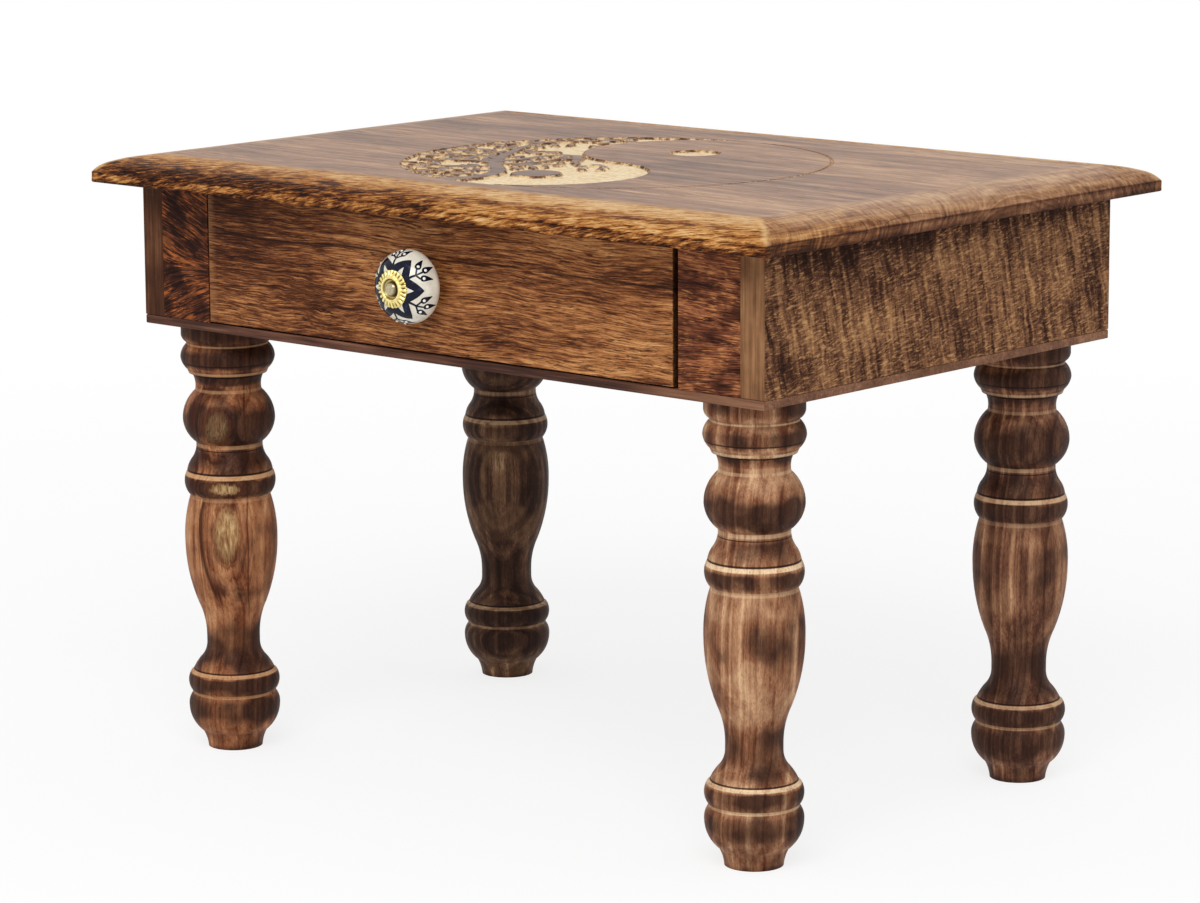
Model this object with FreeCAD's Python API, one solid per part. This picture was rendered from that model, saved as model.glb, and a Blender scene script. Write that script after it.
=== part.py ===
import FreeCAD, Part
import math
import os

# Prayer table: a low table with a carved top and one drawer, on four turned legs.
# Lengths are in millimetres. +X runs to the right of someone who faces the drawer, the drawer
# opens towards -Y and +Z is up. The origin lies on the floor under the middle of the top.

# Overall size
table_length = 508.0
table_depth = 355.6
table_height = 355.6

# Table top: a solid board with a rounded edge that stands on a small square fillet
top_thickness = 15.9
top_overhang_side = 19.9
top_overhang_front = 22.4
edge_fillet_height = 6.0
edge_round_width = 29.0
# Each pair is inwards over the round's width and upwards over its height
edge_round_shares = [(0.0, 0.0), (0.09, 0.31), (0.26, 0.60), (0.56, 0.86), (1.0, 1.0)]

# Carved roundel: one sunk comma, its standing eye, the other comma's sunk eye and outline
roundel_radius = 118.0
roundel_centre_x = 6.0
roundel_centre_y = -12.0
roundel_turn = -3.0
roundel_depth = 1.5
roundel_eye_diameter = 29.0
# Each eye's place, from the roundel's middle
roundel_near_eye_run = 67.0
roundel_far_eye_run = 63.0
roundel_eye_aside = 4.8
roundel_ridge = 1.0
roundel_line_width = 1.2
roundel_line_depth = 0.8

# Box under the top
case_height = 78.7
side_board_thickness = 15.9
back_board_thickness = 15.9
stile_thickness = 16.0
stile_width_left = 37.9
stile_width_right = 42.3
bottom_board_thickness = 5.0

# Legs
leg_bead_diameter = 55.8
leg_inset_side = 33.5
leg_inset_front = 33.5
leg_inset_back = 36.5
# The turning from the floor up: radius over the largest bead's and height over the leg's.
# A row of two ends a straight stretch, a row of four gives an arc's middle and its end.
leg_turning_shares = [
    (0.580, 0.0),
    (0.612, 0.018, 0.690, 0.038), (0.875, 0.061, 0.972, 0.099), (0.950, 0.117, 0.868, 0.131),
    (0.972, 0.156, 0.920, 0.179), (0.880, 0.181),
    (0.815, 0.195, 0.718, 0.210), (0.618, 0.225, 0.568, 0.247), (0.568, 0.268),
    (0.614, 0.309, 0.728, 0.345), (0.902, 0.409, 0.984, 0.495), (0.960, 0.544, 0.850, 0.598),
    (0.968, 0.630, 0.930, 0.651), (0.910, 0.654),
    (0.872, 0.670, 0.803, 0.683), (0.736, 0.697, 0.706, 0.712), (0.706, 0.722),
    (0.895, 0.745, 0.980, 0.776), (0.930, 0.808, 0.708, 0.843),
    (0.700, 0.862, 0.755, 0.881),
    (0.830, 0.884), (0.865, 0.893),
    (0.958, 0.906, 1.0, 0.921), (0.962, 0.938, 0.872, 0.951), (0.872, 0.956),
    (0.948, 0.963, 0.983, 0.977), (0.983, 1.0),
]

# Corner blocks and the hardware that holds the legs
corner_block_depth = 36.0
corner_block_height = 30.0
hanger_bolt_diameter = 8.0
hanger_bolt_in_leg = 28.0
hanger_bolt_in_insert = 18.0
hanger_bolt_point = 1.5
insert_diameter = 12.0
insert_length = 20.0
hardware_clearance = 0.05
hole_extra_depth = 2.0

# Cleats under the top, with their screws
cleat_size = 18.0
top_screw_diameter = 3.8
top_screw_head_diameter = 7.6
top_screw_in_top = 10.0
# Places along the cleat
top_screw_run_shares = [0.2, 0.8]

# Bottom board screws
bottom_screw_diameter = 3.2
bottom_screw_head_diameter = 6.4
bottom_screw_length = 24.0
# Places along each board that stands on the bottom board
bottom_screw_run_shares = [0.32, 0.68]

# Drawer
drawer_front_thickness = 16.0
drawer_gap_left = 0.6
drawer_gap_right = 3.4
drawer_gap_bottom = 0.9
drawer_gap_top = 1.0
drawer_edge_radius = 1.0
drawer_side_thickness = 10.0
drawer_side_height = 72.0
drawer_side_lap = 8.0
drawer_back_thickness = 10.0
drawer_bottom_thickness = 4.0
drawer_bottom_rise = 6.0
drawer_groove_depth = 5.0
drawer_groove_clearance = 0.1
drawer_rest_clearance = 0.3
drawer_pin_diameter = 1.6
drawer_pin_length = 22.0
drawer_pin_row_shares = [0.3, 0.75]

# Drawer guides and stops
guide_thickness = 8.0
guide_height = 20.0
guide_clearance = 0.8
stop_length = 16.0
stop_depth = 8.0
stop_height = 20.0
stop_rise = 24.0
stop_clearance = 0.5

# Knob: a glazed ceramic body between a brass ferrule and a brass rosette, on one machine screw
knob_offset = -3.4
knob_diameter = 41.4
knob_seat_diameter = 20.0
knob_neck_diameter = 16.0
knob_neck_height = 2.0
knob_widest_height = 10.5
knob_body_height = 23.5
knob_ferrule_diameter = 20.0
knob_ferrule_rim = 1.0
knob_ferrule_thickness = 2.0
rosette_diameter = 21.6
rosette_thickness = 1.2
rosette_petals = 24
rosette_petal_depth = 1.0
rosette_boss_diameter = 14.0
rosette_boss_height = 1.5
rosette_well_diameter = 10.8
knob_screw_diameter = 4.0
knob_screw_head_diameter = 8.2
knob_screw_head_height = 2.5
knob_screw_clearance = 0.1
knob_screw_tail = 2.0
knob_washer_diameter = 12.0
knob_washer_thickness = 1.0
knob_nut_width = 7.0
knob_nut_sides = 6
knob_nut_thickness = 3.2

# One overrun serves every cut
cut_overrun = 5.0

# Planes and places that follow from the sizes above
case_top = table_height - top_thickness
case_bottom = case_top - case_height
leg_height = case_bottom - bottom_board_thickness
case_right = table_length / 2 - top_overhang_side
case_left = -case_right
case_back = table_depth / 2 - top_overhang_front
case_front = -case_back
inside_right = case_right - side_board_thickness
inside_left = -inside_right
inside_back = case_back - back_board_thickness
inside_front = case_front + stile_thickness
leg_x = case_right - leg_inset_side
leg_front_y = case_front + leg_inset_front
leg_back_y = case_back - leg_inset_back
leg_radius = leg_bead_diameter / 2

opening_left = inside_left + stile_width_left
opening_right = inside_right - stile_width_right
drawer_left = opening_left + drawer_gap_left
drawer_right = opening_right - drawer_gap_right
drawer_front_bottom = case_bottom + drawer_gap_bottom
drawer_front_top = case_top - drawer_gap_top
drawer_front_back = case_front + drawer_front_thickness
drawer_side_bottom = case_bottom + drawer_rest_clearance
drawer_side_top = drawer_side_bottom + drawer_side_height
drawer_side_front = drawer_front_back - drawer_side_lap
drawer_side_end = inside_back - stop_depth - stop_clearance
drawer_panel_bottom = drawer_side_bottom + drawer_bottom_rise
drawer_panel_top = drawer_panel_bottom + drawer_bottom_thickness

knob_x = (drawer_left + drawer_right) / 2 + knob_offset
knob_z = (drawer_front_bottom + drawer_front_top) / 2

SIDES = {"left": -1, "right": 1}
CORNERS = {"front_left": (-1, -1), "front_right": (1, -1), "back_left": (-1, 1), "back_right": (1, 1)}
UP = FreeCAD.Vector(0, 0, 1)
DOWN = FreeCAD.Vector(0, 0, -1)
RIGHT = FreeCAD.Vector(1, 0, 0)
FORWARD = FreeCAD.Vector(0, -1, 0)
BACKWARD = FreeCAD.Vector(0, 1, 0)


# Shared ways of making a solid

def point(x, y, z):
    return FreeCAD.Vector(x, y, z)


def leg_axis(sign_x, sign_y, height):
    """A point on a leg's own axis."""
    return point(sign_x * leg_x, leg_front_y if sign_y < 0 else leg_back_y, height)


def board(low, high):
    """A square-cut board between two opposite corners."""
    size = high - low
    return Part.makeBox(size.x, size.y, size.z, low)


def rod(radius, length, start, along):
    """A round bar or a round cut."""
    return Part.makeCylinder(radius, length, start, along)


def outline_edges(rows):
    """Edges through rows of (end) for a line, (middle, end) for an arc or (corner, end, "round")."""
    edges = []
    last = rows[0][0]
    for row in rows[1:]:
        if len(row) == 1:
            edges.append(Part.makeLine(last, row[0]))
            last = row[0]
        elif len(row) == 2:
            edges.append(Part.Arc(last, row[0], row[1]).toShape())
            last = row[1]
        else:
            edges.append(quarter_round(last, row[0], row[1]))
            last = row[1]
    return edges


def quarter_round(start, corner, end):
    """An elliptical quarter from start to end, which meets both sides of the corner smoothly."""
    curve = Part.BezierCurve()
    curve.setPoles([start, corner, end])
    curve.setWeight(2, math.cos(math.pi / 4))
    return curve.toShape()


def turned(points):
    """A solid of revolution about the Z axis from a profile in the XZ plane."""
    rows = [row if isinstance(row, tuple) else (row,) for row in points]
    wire = Part.Wire(outline_edges(rows + [rows[0]]))
    return Part.Face(wire).revolve(point(0, 0, 0), UP, 360)


def towards(shape, start, along):
    """Stands a shape that was turned about +Z along another direction."""
    placed = shape.copy()
    placed.Placement = FreeCAD.Placement(start, FreeCAD.Rotation(UP, along)) * shape.Placement
    return placed


def countersunk_screw(diameter, head_diameter, length, start, along):
    """A flat-headed wood screw whose head face is at start and whose point is along."""
    radius = diameter / 2
    head_radius = head_diameter / 2
    cone = head_radius - radius
    profile = [point(0, 0, 0), point(head_radius, 0, 0), point(radius, 0, cone),
               point(radius, 0, length - diameter), point(0, 0, length)]
    return towards(turned(profile), start, along)


def countersunk_hole(diameter, head_diameter, length, start, along):
    """The hole for such a screw, a little wider all round."""
    wider = 2 * hardware_clearance
    return countersunk_screw(diameter + wider, head_diameter + wider, length + diameter, start, along)


def along_run(start, end, shares):
    """Places along a run, as shares of it."""
    return [start + (end - start) * share for share in shares]


def write(name, shape):
    shape.exportStep(os.path.join("parts", name + ".step"))


# Table top

def edge_outline(half_width, thickness):
    """Half widths and heights of the moulded section, from the underside's edge to the flat top."""
    round_height = thickness - edge_fillet_height
    points = []
    for inwards, upwards in edge_round_shares:
        x = half_width - inwards * edge_round_width
        points.append((x, edge_fillet_height + upwards * round_height))
    return points


def moulded_prism(half_width, length, across, lengthways):
    """A bar with the moulded edge on both long sides, its underside at zero height."""
    start = lengthways * (-length / 2)

    def place(width, height):
        return start + across * width + UP * height

    right = [place(x, z) for x, z in edge_outline(half_width, top_thickness)]
    left = [place(-x, z) for x, z in edge_outline(half_width, top_thickness)]
    edges = [
        Part.makeLine(place(-half_width, 0), place(half_width, 0)),
        Part.makeLine(place(half_width, 0), right[0]),
        Part.Arc(right[0], right[1], right[2]).toShape(),
        Part.Arc(right[2], right[3], right[4]).toShape(),
        Part.makeLine(right[4], left[4]),
        Part.Arc(left[4], left[3], left[2]).toShape(),
        Part.Arc(left[2], left[1], left[0]).toShape(),
        Part.makeLine(left[0], place(-half_width, 0)),
    ]
    return Part.Face(Part.Wire(edges)).extrude(lengthways * length)


def roundel_place(shape):
    """Puts a cut drawn about zero on the roundel's centre, just below the top's face."""
    placed = shape.copy()
    turn = FreeCAD.Rotation(UP, roundel_turn)
    centre = point(roundel_centre_x, roundel_centre_y, table_height)
    placed.Placement = FreeCAD.Placement(centre, turn) * shape.Placement
    return placed


def sunk_comma():
    """The comma that is carved away, whose head is near the drawer, with its eye left standing."""
    radius = roundel_radius
    ridge = roundel_ridge
    far_radius = radius / 2 + ridge
    near_radius = (radius - ridge) / 2
    tip_y = (radius ** 2 + (radius / 2) ** 2 - far_radius ** 2) / radius
    tip = point(-math.sqrt(radius ** 2 - tip_y ** 2), tip_y, 0)
    near_end = point(0, -radius, 0)
    waist = point(0, -ridge, 0)
    edges = [
        Part.Arc(near_end, point(-radius, 0, 0), tip).toShape(),
        Part.Arc(tip, point(-far_radius, radius / 2, 0), waist).toShape(),
        Part.Arc(waist, point(near_radius, -ridge - near_radius, 0), near_end).toShape(),
    ]
    floor = Part.Face(Part.Wire(edges))
    floor.translate(DOWN * roundel_depth)
    comma = floor.extrude(UP * (roundel_depth + cut_overrun))
    eye_foot = point(roundel_eye_aside, -roundel_near_eye_run, -roundel_depth)
    return comma.cut(rod(roundel_eye_diameter / 2, roundel_depth + cut_overrun, eye_foot, UP))


def roundel_outline():
    """The fine line that bounds the other comma."""
    height = roundel_line_depth + cut_overrun
    base = point(0, 0, -roundel_line_depth)
    outer = Part.makeCylinder(roundel_radius, height, base, UP)
    inner = Part.makeCylinder(roundel_radius - roundel_line_width, height, base, UP)
    reach = roundel_radius + cut_overrun
    half = board(point(0, -reach, -roundel_line_depth), point(reach, reach, cut_overrun))
    return outer.cut(inner).common(half)


def make_table_top():
    long_way = moulded_prism(table_depth / 2, table_length, BACKWARD, RIGHT)
    cross_way = moulded_prism(table_length / 2, table_depth, RIGHT, BACKWARD)
    top = long_way.common(cross_way)
    top.translate(UP * case_top)
    far_eye = rod(roundel_eye_diameter / 2, roundel_depth + cut_overrun,
                  point(roundel_eye_aside, roundel_far_eye_run, -roundel_depth), UP)
    for cut in (sunk_comma(), far_eye, roundel_outline()):
        top = top.cut(roundel_place(cut))
    for start in top_screw_starts():
        top = top.cut(top_screw_hole(start))
    return top.removeSplitter()


# Cleats that hold the top, and their screws

def cleat_centre_x(sign):
    return sign * (inside_right - cleat_size / 2)


def top_screw_starts():
    """Head faces of the screws, on the underside of both cleats."""
    places = along_run(inside_front, inside_back, top_screw_run_shares)
    return [point(cleat_centre_x(sign), y, case_top - cleat_size)
            for sign in SIDES.values() for y in places]


def top_screw_length():
    return cleat_size + top_screw_in_top


def top_screw_hole(start):
    return countersunk_hole(top_screw_diameter, top_screw_head_diameter, top_screw_length(), start, UP)


def make_top_screws():
    screws = []
    for start in top_screw_starts():
        screws.append(countersunk_screw(top_screw_diameter, top_screw_head_diameter,
                                        top_screw_length(), start, UP))
    return Part.makeCompound(screws)


def make_cleat(sign):
    x = cleat_centre_x(sign)
    low = point(x - cleat_size / 2, inside_front, case_top - cleat_size)
    high = point(x + cleat_size / 2, inside_back, case_top)
    cleat = board(low, high)
    for start in top_screw_starts():
        cleat = cleat.cut(top_screw_hole(start))
    return cleat


# Box boards

def bottom_screw_starts():
    """Head faces of the screws, on the underside of the bottom board."""
    side_x = case_right - side_board_thickness / 2
    back_y = case_back - back_board_thickness / 2
    starts = [point(sign * side_x, y, leg_height) for sign in SIDES.values()
              for y in along_run(case_front, case_back, bottom_screw_run_shares)]
    back_places = along_run(case_left, case_right, bottom_screw_run_shares)
    return starts + [point(x, back_y, leg_height) for x in back_places]


def drill_bottom_screws(shape):
    for start in bottom_screw_starts():
        shape = shape.cut(countersunk_hole(bottom_screw_diameter, bottom_screw_head_diameter,
                                           bottom_screw_length, start, UP))
    return shape


def make_bottom_screws():
    screws = []
    for start in bottom_screw_starts():
        screws.append(countersunk_screw(bottom_screw_diameter, bottom_screw_head_diameter,
                                        bottom_screw_length, start, UP))
    return Part.makeCompound(screws)


def make_side_board(sign):
    outer = sign * case_right
    inner = sign * inside_right
    low = point(min(outer, inner), case_front, case_bottom)
    high = point(max(outer, inner), case_back, case_top)
    return drill_bottom_screws(board(low, high))


def make_back_board():
    low = point(inside_left, inside_back, case_bottom)
    high = point(inside_right, case_back, case_top)
    return drill_bottom_screws(board(low, high))


def make_front_stile(sign):
    outer = sign * inside_right
    inner = opening_right if sign > 0 else opening_left
    low = point(min(outer, inner), case_front, case_bottom)
    high = point(max(outer, inner), inside_front, case_top)
    return board(low, high)


def make_bottom_board():
    low = point(case_left, case_front, leg_height)
    high = point(case_right, case_back, case_bottom)
    panel = drill_bottom_screws(board(low, high))
    for sign_x, sign_y in CORNERS.values():
        start = leg_axis(sign_x, sign_y, leg_height - cut_overrun)
        hole_radius = hanger_bolt_diameter / 2 + hardware_clearance
        panel = panel.cut(rod(hole_radius, bottom_board_thickness + 2 * cut_overrun, start, UP))
    return panel


# Corner blocks, threaded inserts and hanger bolts

def guide_outer_x(sign):
    """The guide's far face, on which the corner blocks bear."""
    if sign > 0:
        return drawer_right + guide_clearance + guide_thickness
    return drawer_left - guide_clearance - guide_thickness


def make_corner_block(corner):
    sign_x, sign_y = CORNERS[corner]
    outer, inner = sign_x * inside_right, guide_outer_x(sign_x)
    wall = inside_front if sign_y < 0 else inside_back
    free = wall - sign_y * corner_block_depth
    low = point(min(outer, inner), min(wall, free), case_bottom)
    high = point(max(outer, inner), max(wall, free), case_bottom + corner_block_height)
    start = leg_axis(sign_x, sign_y, case_bottom - cut_overrun)
    hole_radius = insert_diameter / 2 + hardware_clearance
    hole = rod(hole_radius, cut_overrun + insert_length + hole_extra_depth, start, UP)
    return board(low, high).cut(hole)


def make_threaded_inserts():
    inserts = []
    for sign_x, sign_y in CORNERS.values():
        start = leg_axis(sign_x, sign_y, case_bottom)
        sleeve = rod(insert_diameter / 2, insert_length, start, UP)
        bore = rod(hanger_bolt_diameter / 2 + hardware_clearance, insert_length + 2 * cut_overrun,
                   start + DOWN * cut_overrun, UP)
        inserts.append(sleeve.cut(bore))
    return Part.makeCompound(inserts)


def make_hanger_bolts():
    radius = hanger_bolt_diameter / 2
    length = hanger_bolt_in_leg + bottom_board_thickness + hanger_bolt_in_insert
    tip = radius - hanger_bolt_point
    profile = [point(0, 0, 0), point(tip, 0, 0), point(radius, 0, hanger_bolt_point),
               point(radius, 0, length - hanger_bolt_point), point(tip, 0, length), point(0, 0, length)]
    bolts = []
    for sign_x, sign_y in CORNERS.values():
        foot = leg_axis(sign_x, sign_y, leg_height - hanger_bolt_in_leg)
        bolts.append(towards(turned(profile), foot, UP))
    return Part.makeCompound(bolts)


# Turned legs

def make_leg(corner):
    rows = []
    for row in leg_turning_shares:
        pairs = zip(row[0::2], row[1::2])
        rows.append(tuple(point(r * leg_radius, 0, z * leg_height) for r, z in pairs))
    rows.append((point(0, 0, leg_height),))
    rows.append((point(0, 0, 0),))
    leg = turned(rows)
    hole_depth = hanger_bolt_in_leg + hole_extra_depth
    hole_radius = hanger_bolt_diameter / 2 + hardware_clearance
    leg = leg.cut(rod(hole_radius, hole_depth + cut_overrun, point(0, 0, leg_height - hole_depth), UP))
    sign_x, sign_y = CORNERS[corner]
    leg.translate(leg_axis(sign_x, sign_y, 0))
    return leg


# Drawer guides and stops

def make_drawer_guide(sign):
    outer = guide_outer_x(sign)
    inner = outer - sign * guide_thickness
    low = point(min(outer, inner), inside_front, case_bottom)
    high = point(max(outer, inner), inside_back, case_bottom + guide_height)
    return board(low, high)


def make_drawer_stops():
    bottom = case_bottom + stop_rise
    stops = []
    for x in (drawer_left, drawer_right - stop_length):
        low = point(x, inside_back - stop_depth, bottom)
        high = point(x + stop_length, inside_back, bottom + stop_height)
        stops.append(board(low, high))
    return Part.makeCompound(stops)


# Drawer

def drawer_pin_places():
    """Heads and directions of the pins through the drawer's corners."""
    front_y = drawer_side_front + drawer_side_lap / 2
    back_y = drawer_side_end - drawer_back_thickness / 2
    heights = along_run(drawer_side_bottom, drawer_side_top, drawer_pin_row_shares)
    places = []
    for y in (front_y, back_y):
        for z in heights:
            places.append((point(drawer_left, y, z), RIGHT))
            places.append((point(drawer_right, y, z), RIGHT * -1))
    return places


def make_drawer_pins():
    return Part.makeCompound([rod(drawer_pin_diameter / 2, drawer_pin_length, start, along)
                              for start, along in drawer_pin_places()])


def drill_drawer_pins(shape):
    for start, along in drawer_pin_places():
        shape = shape.cut(rod(drawer_pin_diameter / 2 + hardware_clearance,
                              drawer_pin_length + cut_overrun, start - along * cut_overrun, along))
    return shape


def drawer_panel_groove():
    """The space that the grooves in the front and the sides leave for the bottom."""
    low = point(drawer_left + drawer_side_thickness - drawer_groove_depth,
                drawer_front_back - drawer_groove_depth, drawer_panel_bottom - drawer_groove_clearance)
    high = point(drawer_right - drawer_side_thickness + drawer_groove_depth,
                 drawer_side_end + cut_overrun, drawer_panel_top + drawer_groove_clearance)
    return board(low, high)


def make_drawer_front():
    low = point(drawer_left, case_front, drawer_front_bottom)
    high = point(drawer_right, drawer_front_back, drawer_front_top)
    front = board(low, high)
    face_edges = [edge for edge in front.Edges
                  if all(abs(vertex.Y - case_front) < drawer_edge_radius for vertex in edge.Vertexes)]
    front = front.makeFillet(drawer_edge_radius, face_edges)
    for end, inwards in ((drawer_left, 1), (drawer_right, -1)):
        near = end - inwards * cut_overrun
        far = end + inwards * drawer_side_thickness
        front = front.cut(board(point(min(near, far), drawer_side_front, drawer_front_bottom - cut_overrun),
                                point(max(near, far), drawer_front_back + cut_overrun,
                                      drawer_front_top + cut_overrun)))
    front = front.cut(drawer_panel_groove())
    front = front.cut(knob_screw_hole())
    return drill_drawer_pins(front)


def make_drawer_side(sign):
    outer = drawer_right if sign > 0 else drawer_left
    inner = outer - sign * drawer_side_thickness
    low = point(min(outer, inner), drawer_side_front, drawer_side_bottom)
    high = point(max(outer, inner), drawer_side_end, drawer_side_top)
    return drill_drawer_pins(board(low, high).cut(drawer_panel_groove()))


def make_drawer_back():
    low = point(drawer_left + drawer_side_thickness, drawer_side_end - drawer_back_thickness,
                drawer_panel_top)
    high = point(drawer_right - drawer_side_thickness, drawer_side_end, drawer_side_top)
    return drill_drawer_pins(board(low, high))


def make_drawer_bottom():
    reach = drawer_groove_depth - drawer_groove_clearance
    low = point(drawer_left + drawer_side_thickness - reach, drawer_front_back - reach, drawer_panel_bottom)
    high = point(drawer_right - drawer_side_thickness + reach, drawer_side_end, drawer_panel_top)
    return drill_drawer_pins(board(low, high))


# Knob: everything is turned about +Z from the drawer's face and then laid along -Y

def on_drawer_face(shape):
    return towards(shape, point(knob_x, case_front, knob_z), FORWARD)


def knob_screw_hole():
    radius = knob_screw_diameter / 2 + knob_screw_clearance
    start = point(knob_x, drawer_front_back + cut_overrun, knob_z)
    return rod(radius, drawer_front_thickness + 2 * cut_overrun, start, FORWARD)


def knob_front():
    """Height of the ceramic's front seat above the drawer's face."""
    return knob_ferrule_thickness + knob_body_height


def make_knob_ferrule():
    outer = knob_ferrule_diameter / 2
    step = knob_neck_diameter / 2
    bore = knob_screw_diameter / 2 + knob_screw_clearance
    profile = [point(bore, 0, 0), point(outer, 0, 0), point(outer, 0, knob_ferrule_rim),
               point(step, 0, knob_ferrule_thickness), point(bore, 0, knob_ferrule_thickness)]
    return on_drawer_face(turned(profile))


def make_knob_body():
    base = knob_ferrule_thickness
    foot = base + knob_neck_height
    widest = base + knob_widest_height
    front = knob_front()
    neck = knob_neck_diameter / 2
    wide = knob_diameter / 2
    seat = knob_seat_diameter / 2
    bore = knob_screw_diameter / 2 + knob_screw_clearance
    profile = [
        point(bore, 0, base), point(neck, 0, base), point(neck, 0, foot),
        (point(wide, 0, foot), point(wide, 0, widest), "round"),
        (point(wide, 0, front), point(seat, 0, front), "round"),
        point(bore, 0, front),
    ]
    return on_drawer_face(turned(profile))


def rosette_rim(radius):
    """A ring of shallow petals as one closed wire."""
    valley = radius - rosette_petal_depth
    step = 2 * math.pi / rosette_petals

    def on_ring(distance, angle):
        return point(distance * math.cos(angle), distance * math.sin(angle), 0)

    edges = []
    for petal in range(rosette_petals):
        start = petal * step
        edges.append(Part.Arc(on_ring(valley, start), on_ring(radius, start + step / 2),
                              on_ring(valley, start + step)).toShape())
    return Part.Wire(edges)


def make_knob_rosette():
    base = knob_front()
    petals = Part.Face(rosette_rim(rosette_diameter / 2)).extrude(UP * rosette_thickness)
    boss_radius = rosette_boss_diameter / 2
    well_radius = rosette_well_diameter / 2
    top = rosette_thickness + rosette_boss_height
    crown = point((boss_radius + well_radius) / 2, 0, top)
    boss = turned([
        point(0, 0, 0), point(boss_radius, 0, 0), point(boss_radius, 0, rosette_thickness),
        (crown, point(well_radius, 0, rosette_thickness)), point(0, 0, rosette_thickness),
    ])
    bore_radius = knob_screw_diameter / 2 + knob_screw_clearance
    bore = rod(bore_radius, top + 2 * cut_overrun, DOWN * cut_overrun, UP)
    rosette = petals.fuse(boss).cut(bore).removeSplitter()
    rosette.translate(UP * base)
    return on_drawer_face(rosette)


def make_knob_screw():
    radius = knob_screw_diameter / 2
    head_radius = knob_screw_head_diameter / 2
    under_head = knob_front() + rosette_thickness
    head_top = under_head + knob_screw_head_height
    tail = -drawer_front_thickness - knob_washer_thickness - knob_nut_thickness - knob_screw_tail
    profile = [
        point(0, 0, tail), point(radius, 0, tail), point(radius, 0, under_head),
        point(head_radius, 0, under_head),
        (point(head_radius, 0, head_top), point(0, 0, head_top), "round"),
    ]
    return on_drawer_face(turned(profile))


def make_knob_washer():
    start = point(knob_x, drawer_front_back, knob_z)
    disc = rod(knob_washer_diameter / 2, knob_washer_thickness, start, BACKWARD)
    bore = rod(knob_screw_diameter / 2 + knob_screw_clearance, knob_washer_thickness + 2 * cut_overrun,
               start + FORWARD * cut_overrun, BACKWARD)
    return disc.cut(bore)


def make_knob_nut():
    step = 2 * math.pi / knob_nut_sides
    corner_radius = knob_nut_width / 2 / math.cos(step / 2)
    face_y = drawer_front_back + knob_washer_thickness
    corners = []
    for corner in range(knob_nut_sides):
        corners.append(point(knob_x + corner_radius * math.cos(corner * step), face_y,
                             knob_z + corner_radius * math.sin(corner * step)))
    nut = Part.Face(Part.makePolygon(corners + corners[:1])).extrude(BACKWARD * knob_nut_thickness)
    bore = rod(knob_screw_diameter / 2 + hardware_clearance, knob_nut_thickness + 2 * cut_overrun,
               point(knob_x, face_y - cut_overrun, knob_z), BACKWARD)
    return nut.cut(bore)


# Every node of the table

def main():
    os.makedirs("parts", exist_ok=True)
    write("table_top", make_table_top())
    write("back_board", make_back_board())
    write("bottom_board", make_bottom_board())
    for side, sign in SIDES.items():
        write("side_board_" + side, make_side_board(sign))
        write("front_stile_" + side, make_front_stile(sign))
        write("top_cleat_" + side, make_cleat(sign))
        write("drawer_guide_" + side, make_drawer_guide(sign))
        write("drawer_side_" + side, make_drawer_side(sign))
    for corner in CORNERS:
        write("corner_block_" + corner, make_corner_block(corner))
        write("leg_" + corner, make_leg(corner))
    write("top_screws", make_top_screws())
    write("bottom_screws", make_bottom_screws())
    write("threaded_inserts", make_threaded_inserts())
    write("hanger_bolts", make_hanger_bolts())
    write("drawer_stops", make_drawer_stops())
    write("drawer_front", make_drawer_front())
    write("drawer_back", make_drawer_back())
    write("drawer_bottom", make_drawer_bottom())
    write("drawer_pins", make_drawer_pins())
    write("knob_ferrule", make_knob_ferrule())
    write("knob_body", make_knob_body())
    write("knob_rosette", make_knob_rosette())
    write("knob_screw", make_knob_screw())
    write("knob_washer", make_knob_washer())
    write("knob_nut", make_knob_nut())


main()
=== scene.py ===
import random
from cmath import phase, rect
from functools import reduce
from math import atan2, cos, dist, pi, radians, sin

import bmesh
import bpy
import numpy as np
from mathutils import Matrix, Vector, noise


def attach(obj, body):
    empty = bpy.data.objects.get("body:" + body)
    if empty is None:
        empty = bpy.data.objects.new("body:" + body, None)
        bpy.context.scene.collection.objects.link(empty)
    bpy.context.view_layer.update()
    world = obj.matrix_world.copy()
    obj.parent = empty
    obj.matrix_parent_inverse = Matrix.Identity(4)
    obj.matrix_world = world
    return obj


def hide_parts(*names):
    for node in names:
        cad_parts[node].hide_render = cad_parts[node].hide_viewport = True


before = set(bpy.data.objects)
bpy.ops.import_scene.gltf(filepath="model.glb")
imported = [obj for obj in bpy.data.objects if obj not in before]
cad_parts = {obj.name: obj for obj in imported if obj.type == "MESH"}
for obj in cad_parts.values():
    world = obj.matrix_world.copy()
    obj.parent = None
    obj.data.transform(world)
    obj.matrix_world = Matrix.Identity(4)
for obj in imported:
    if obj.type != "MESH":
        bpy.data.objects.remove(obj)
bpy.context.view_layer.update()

# The studio is a sweep of white paper with an even white surround, and one large soft lamp
# overhead in front. The camera stands off the table's front right corner, as in the photograph.
scene = bpy.context.scene


def new_object(name, data):
    made = bpy.data.objects.new(name, data)
    scene.collection.objects.link(made)
    return made


def source(tree, kind, output):
    """The output of a node that has no inputs."""
    return Wire(tree, tree.nodes.new("ShaderNode" + kind).outputs[output])


camera_data = bpy.data.cameras.new("camera")
camera = new_object("camera", camera_data)
camera_data.lens = 130.1
camera_data.clip_end = 60
turn, dip, roll = radians(41.38), radians(10.59), radians(-0.3)
camera.rotation_euler = (Matrix.Rotation(turn, 3, "Z") @ Matrix.Rotation(pi / 2 - dip, 3, "X")
                         @ Matrix.Rotation(roll, 3, "Z")).to_euler()
camera.location = (1.6315, -1.87, 0.6486)
scene.camera = camera
scene.view_settings.view_transform = "Standard"


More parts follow.
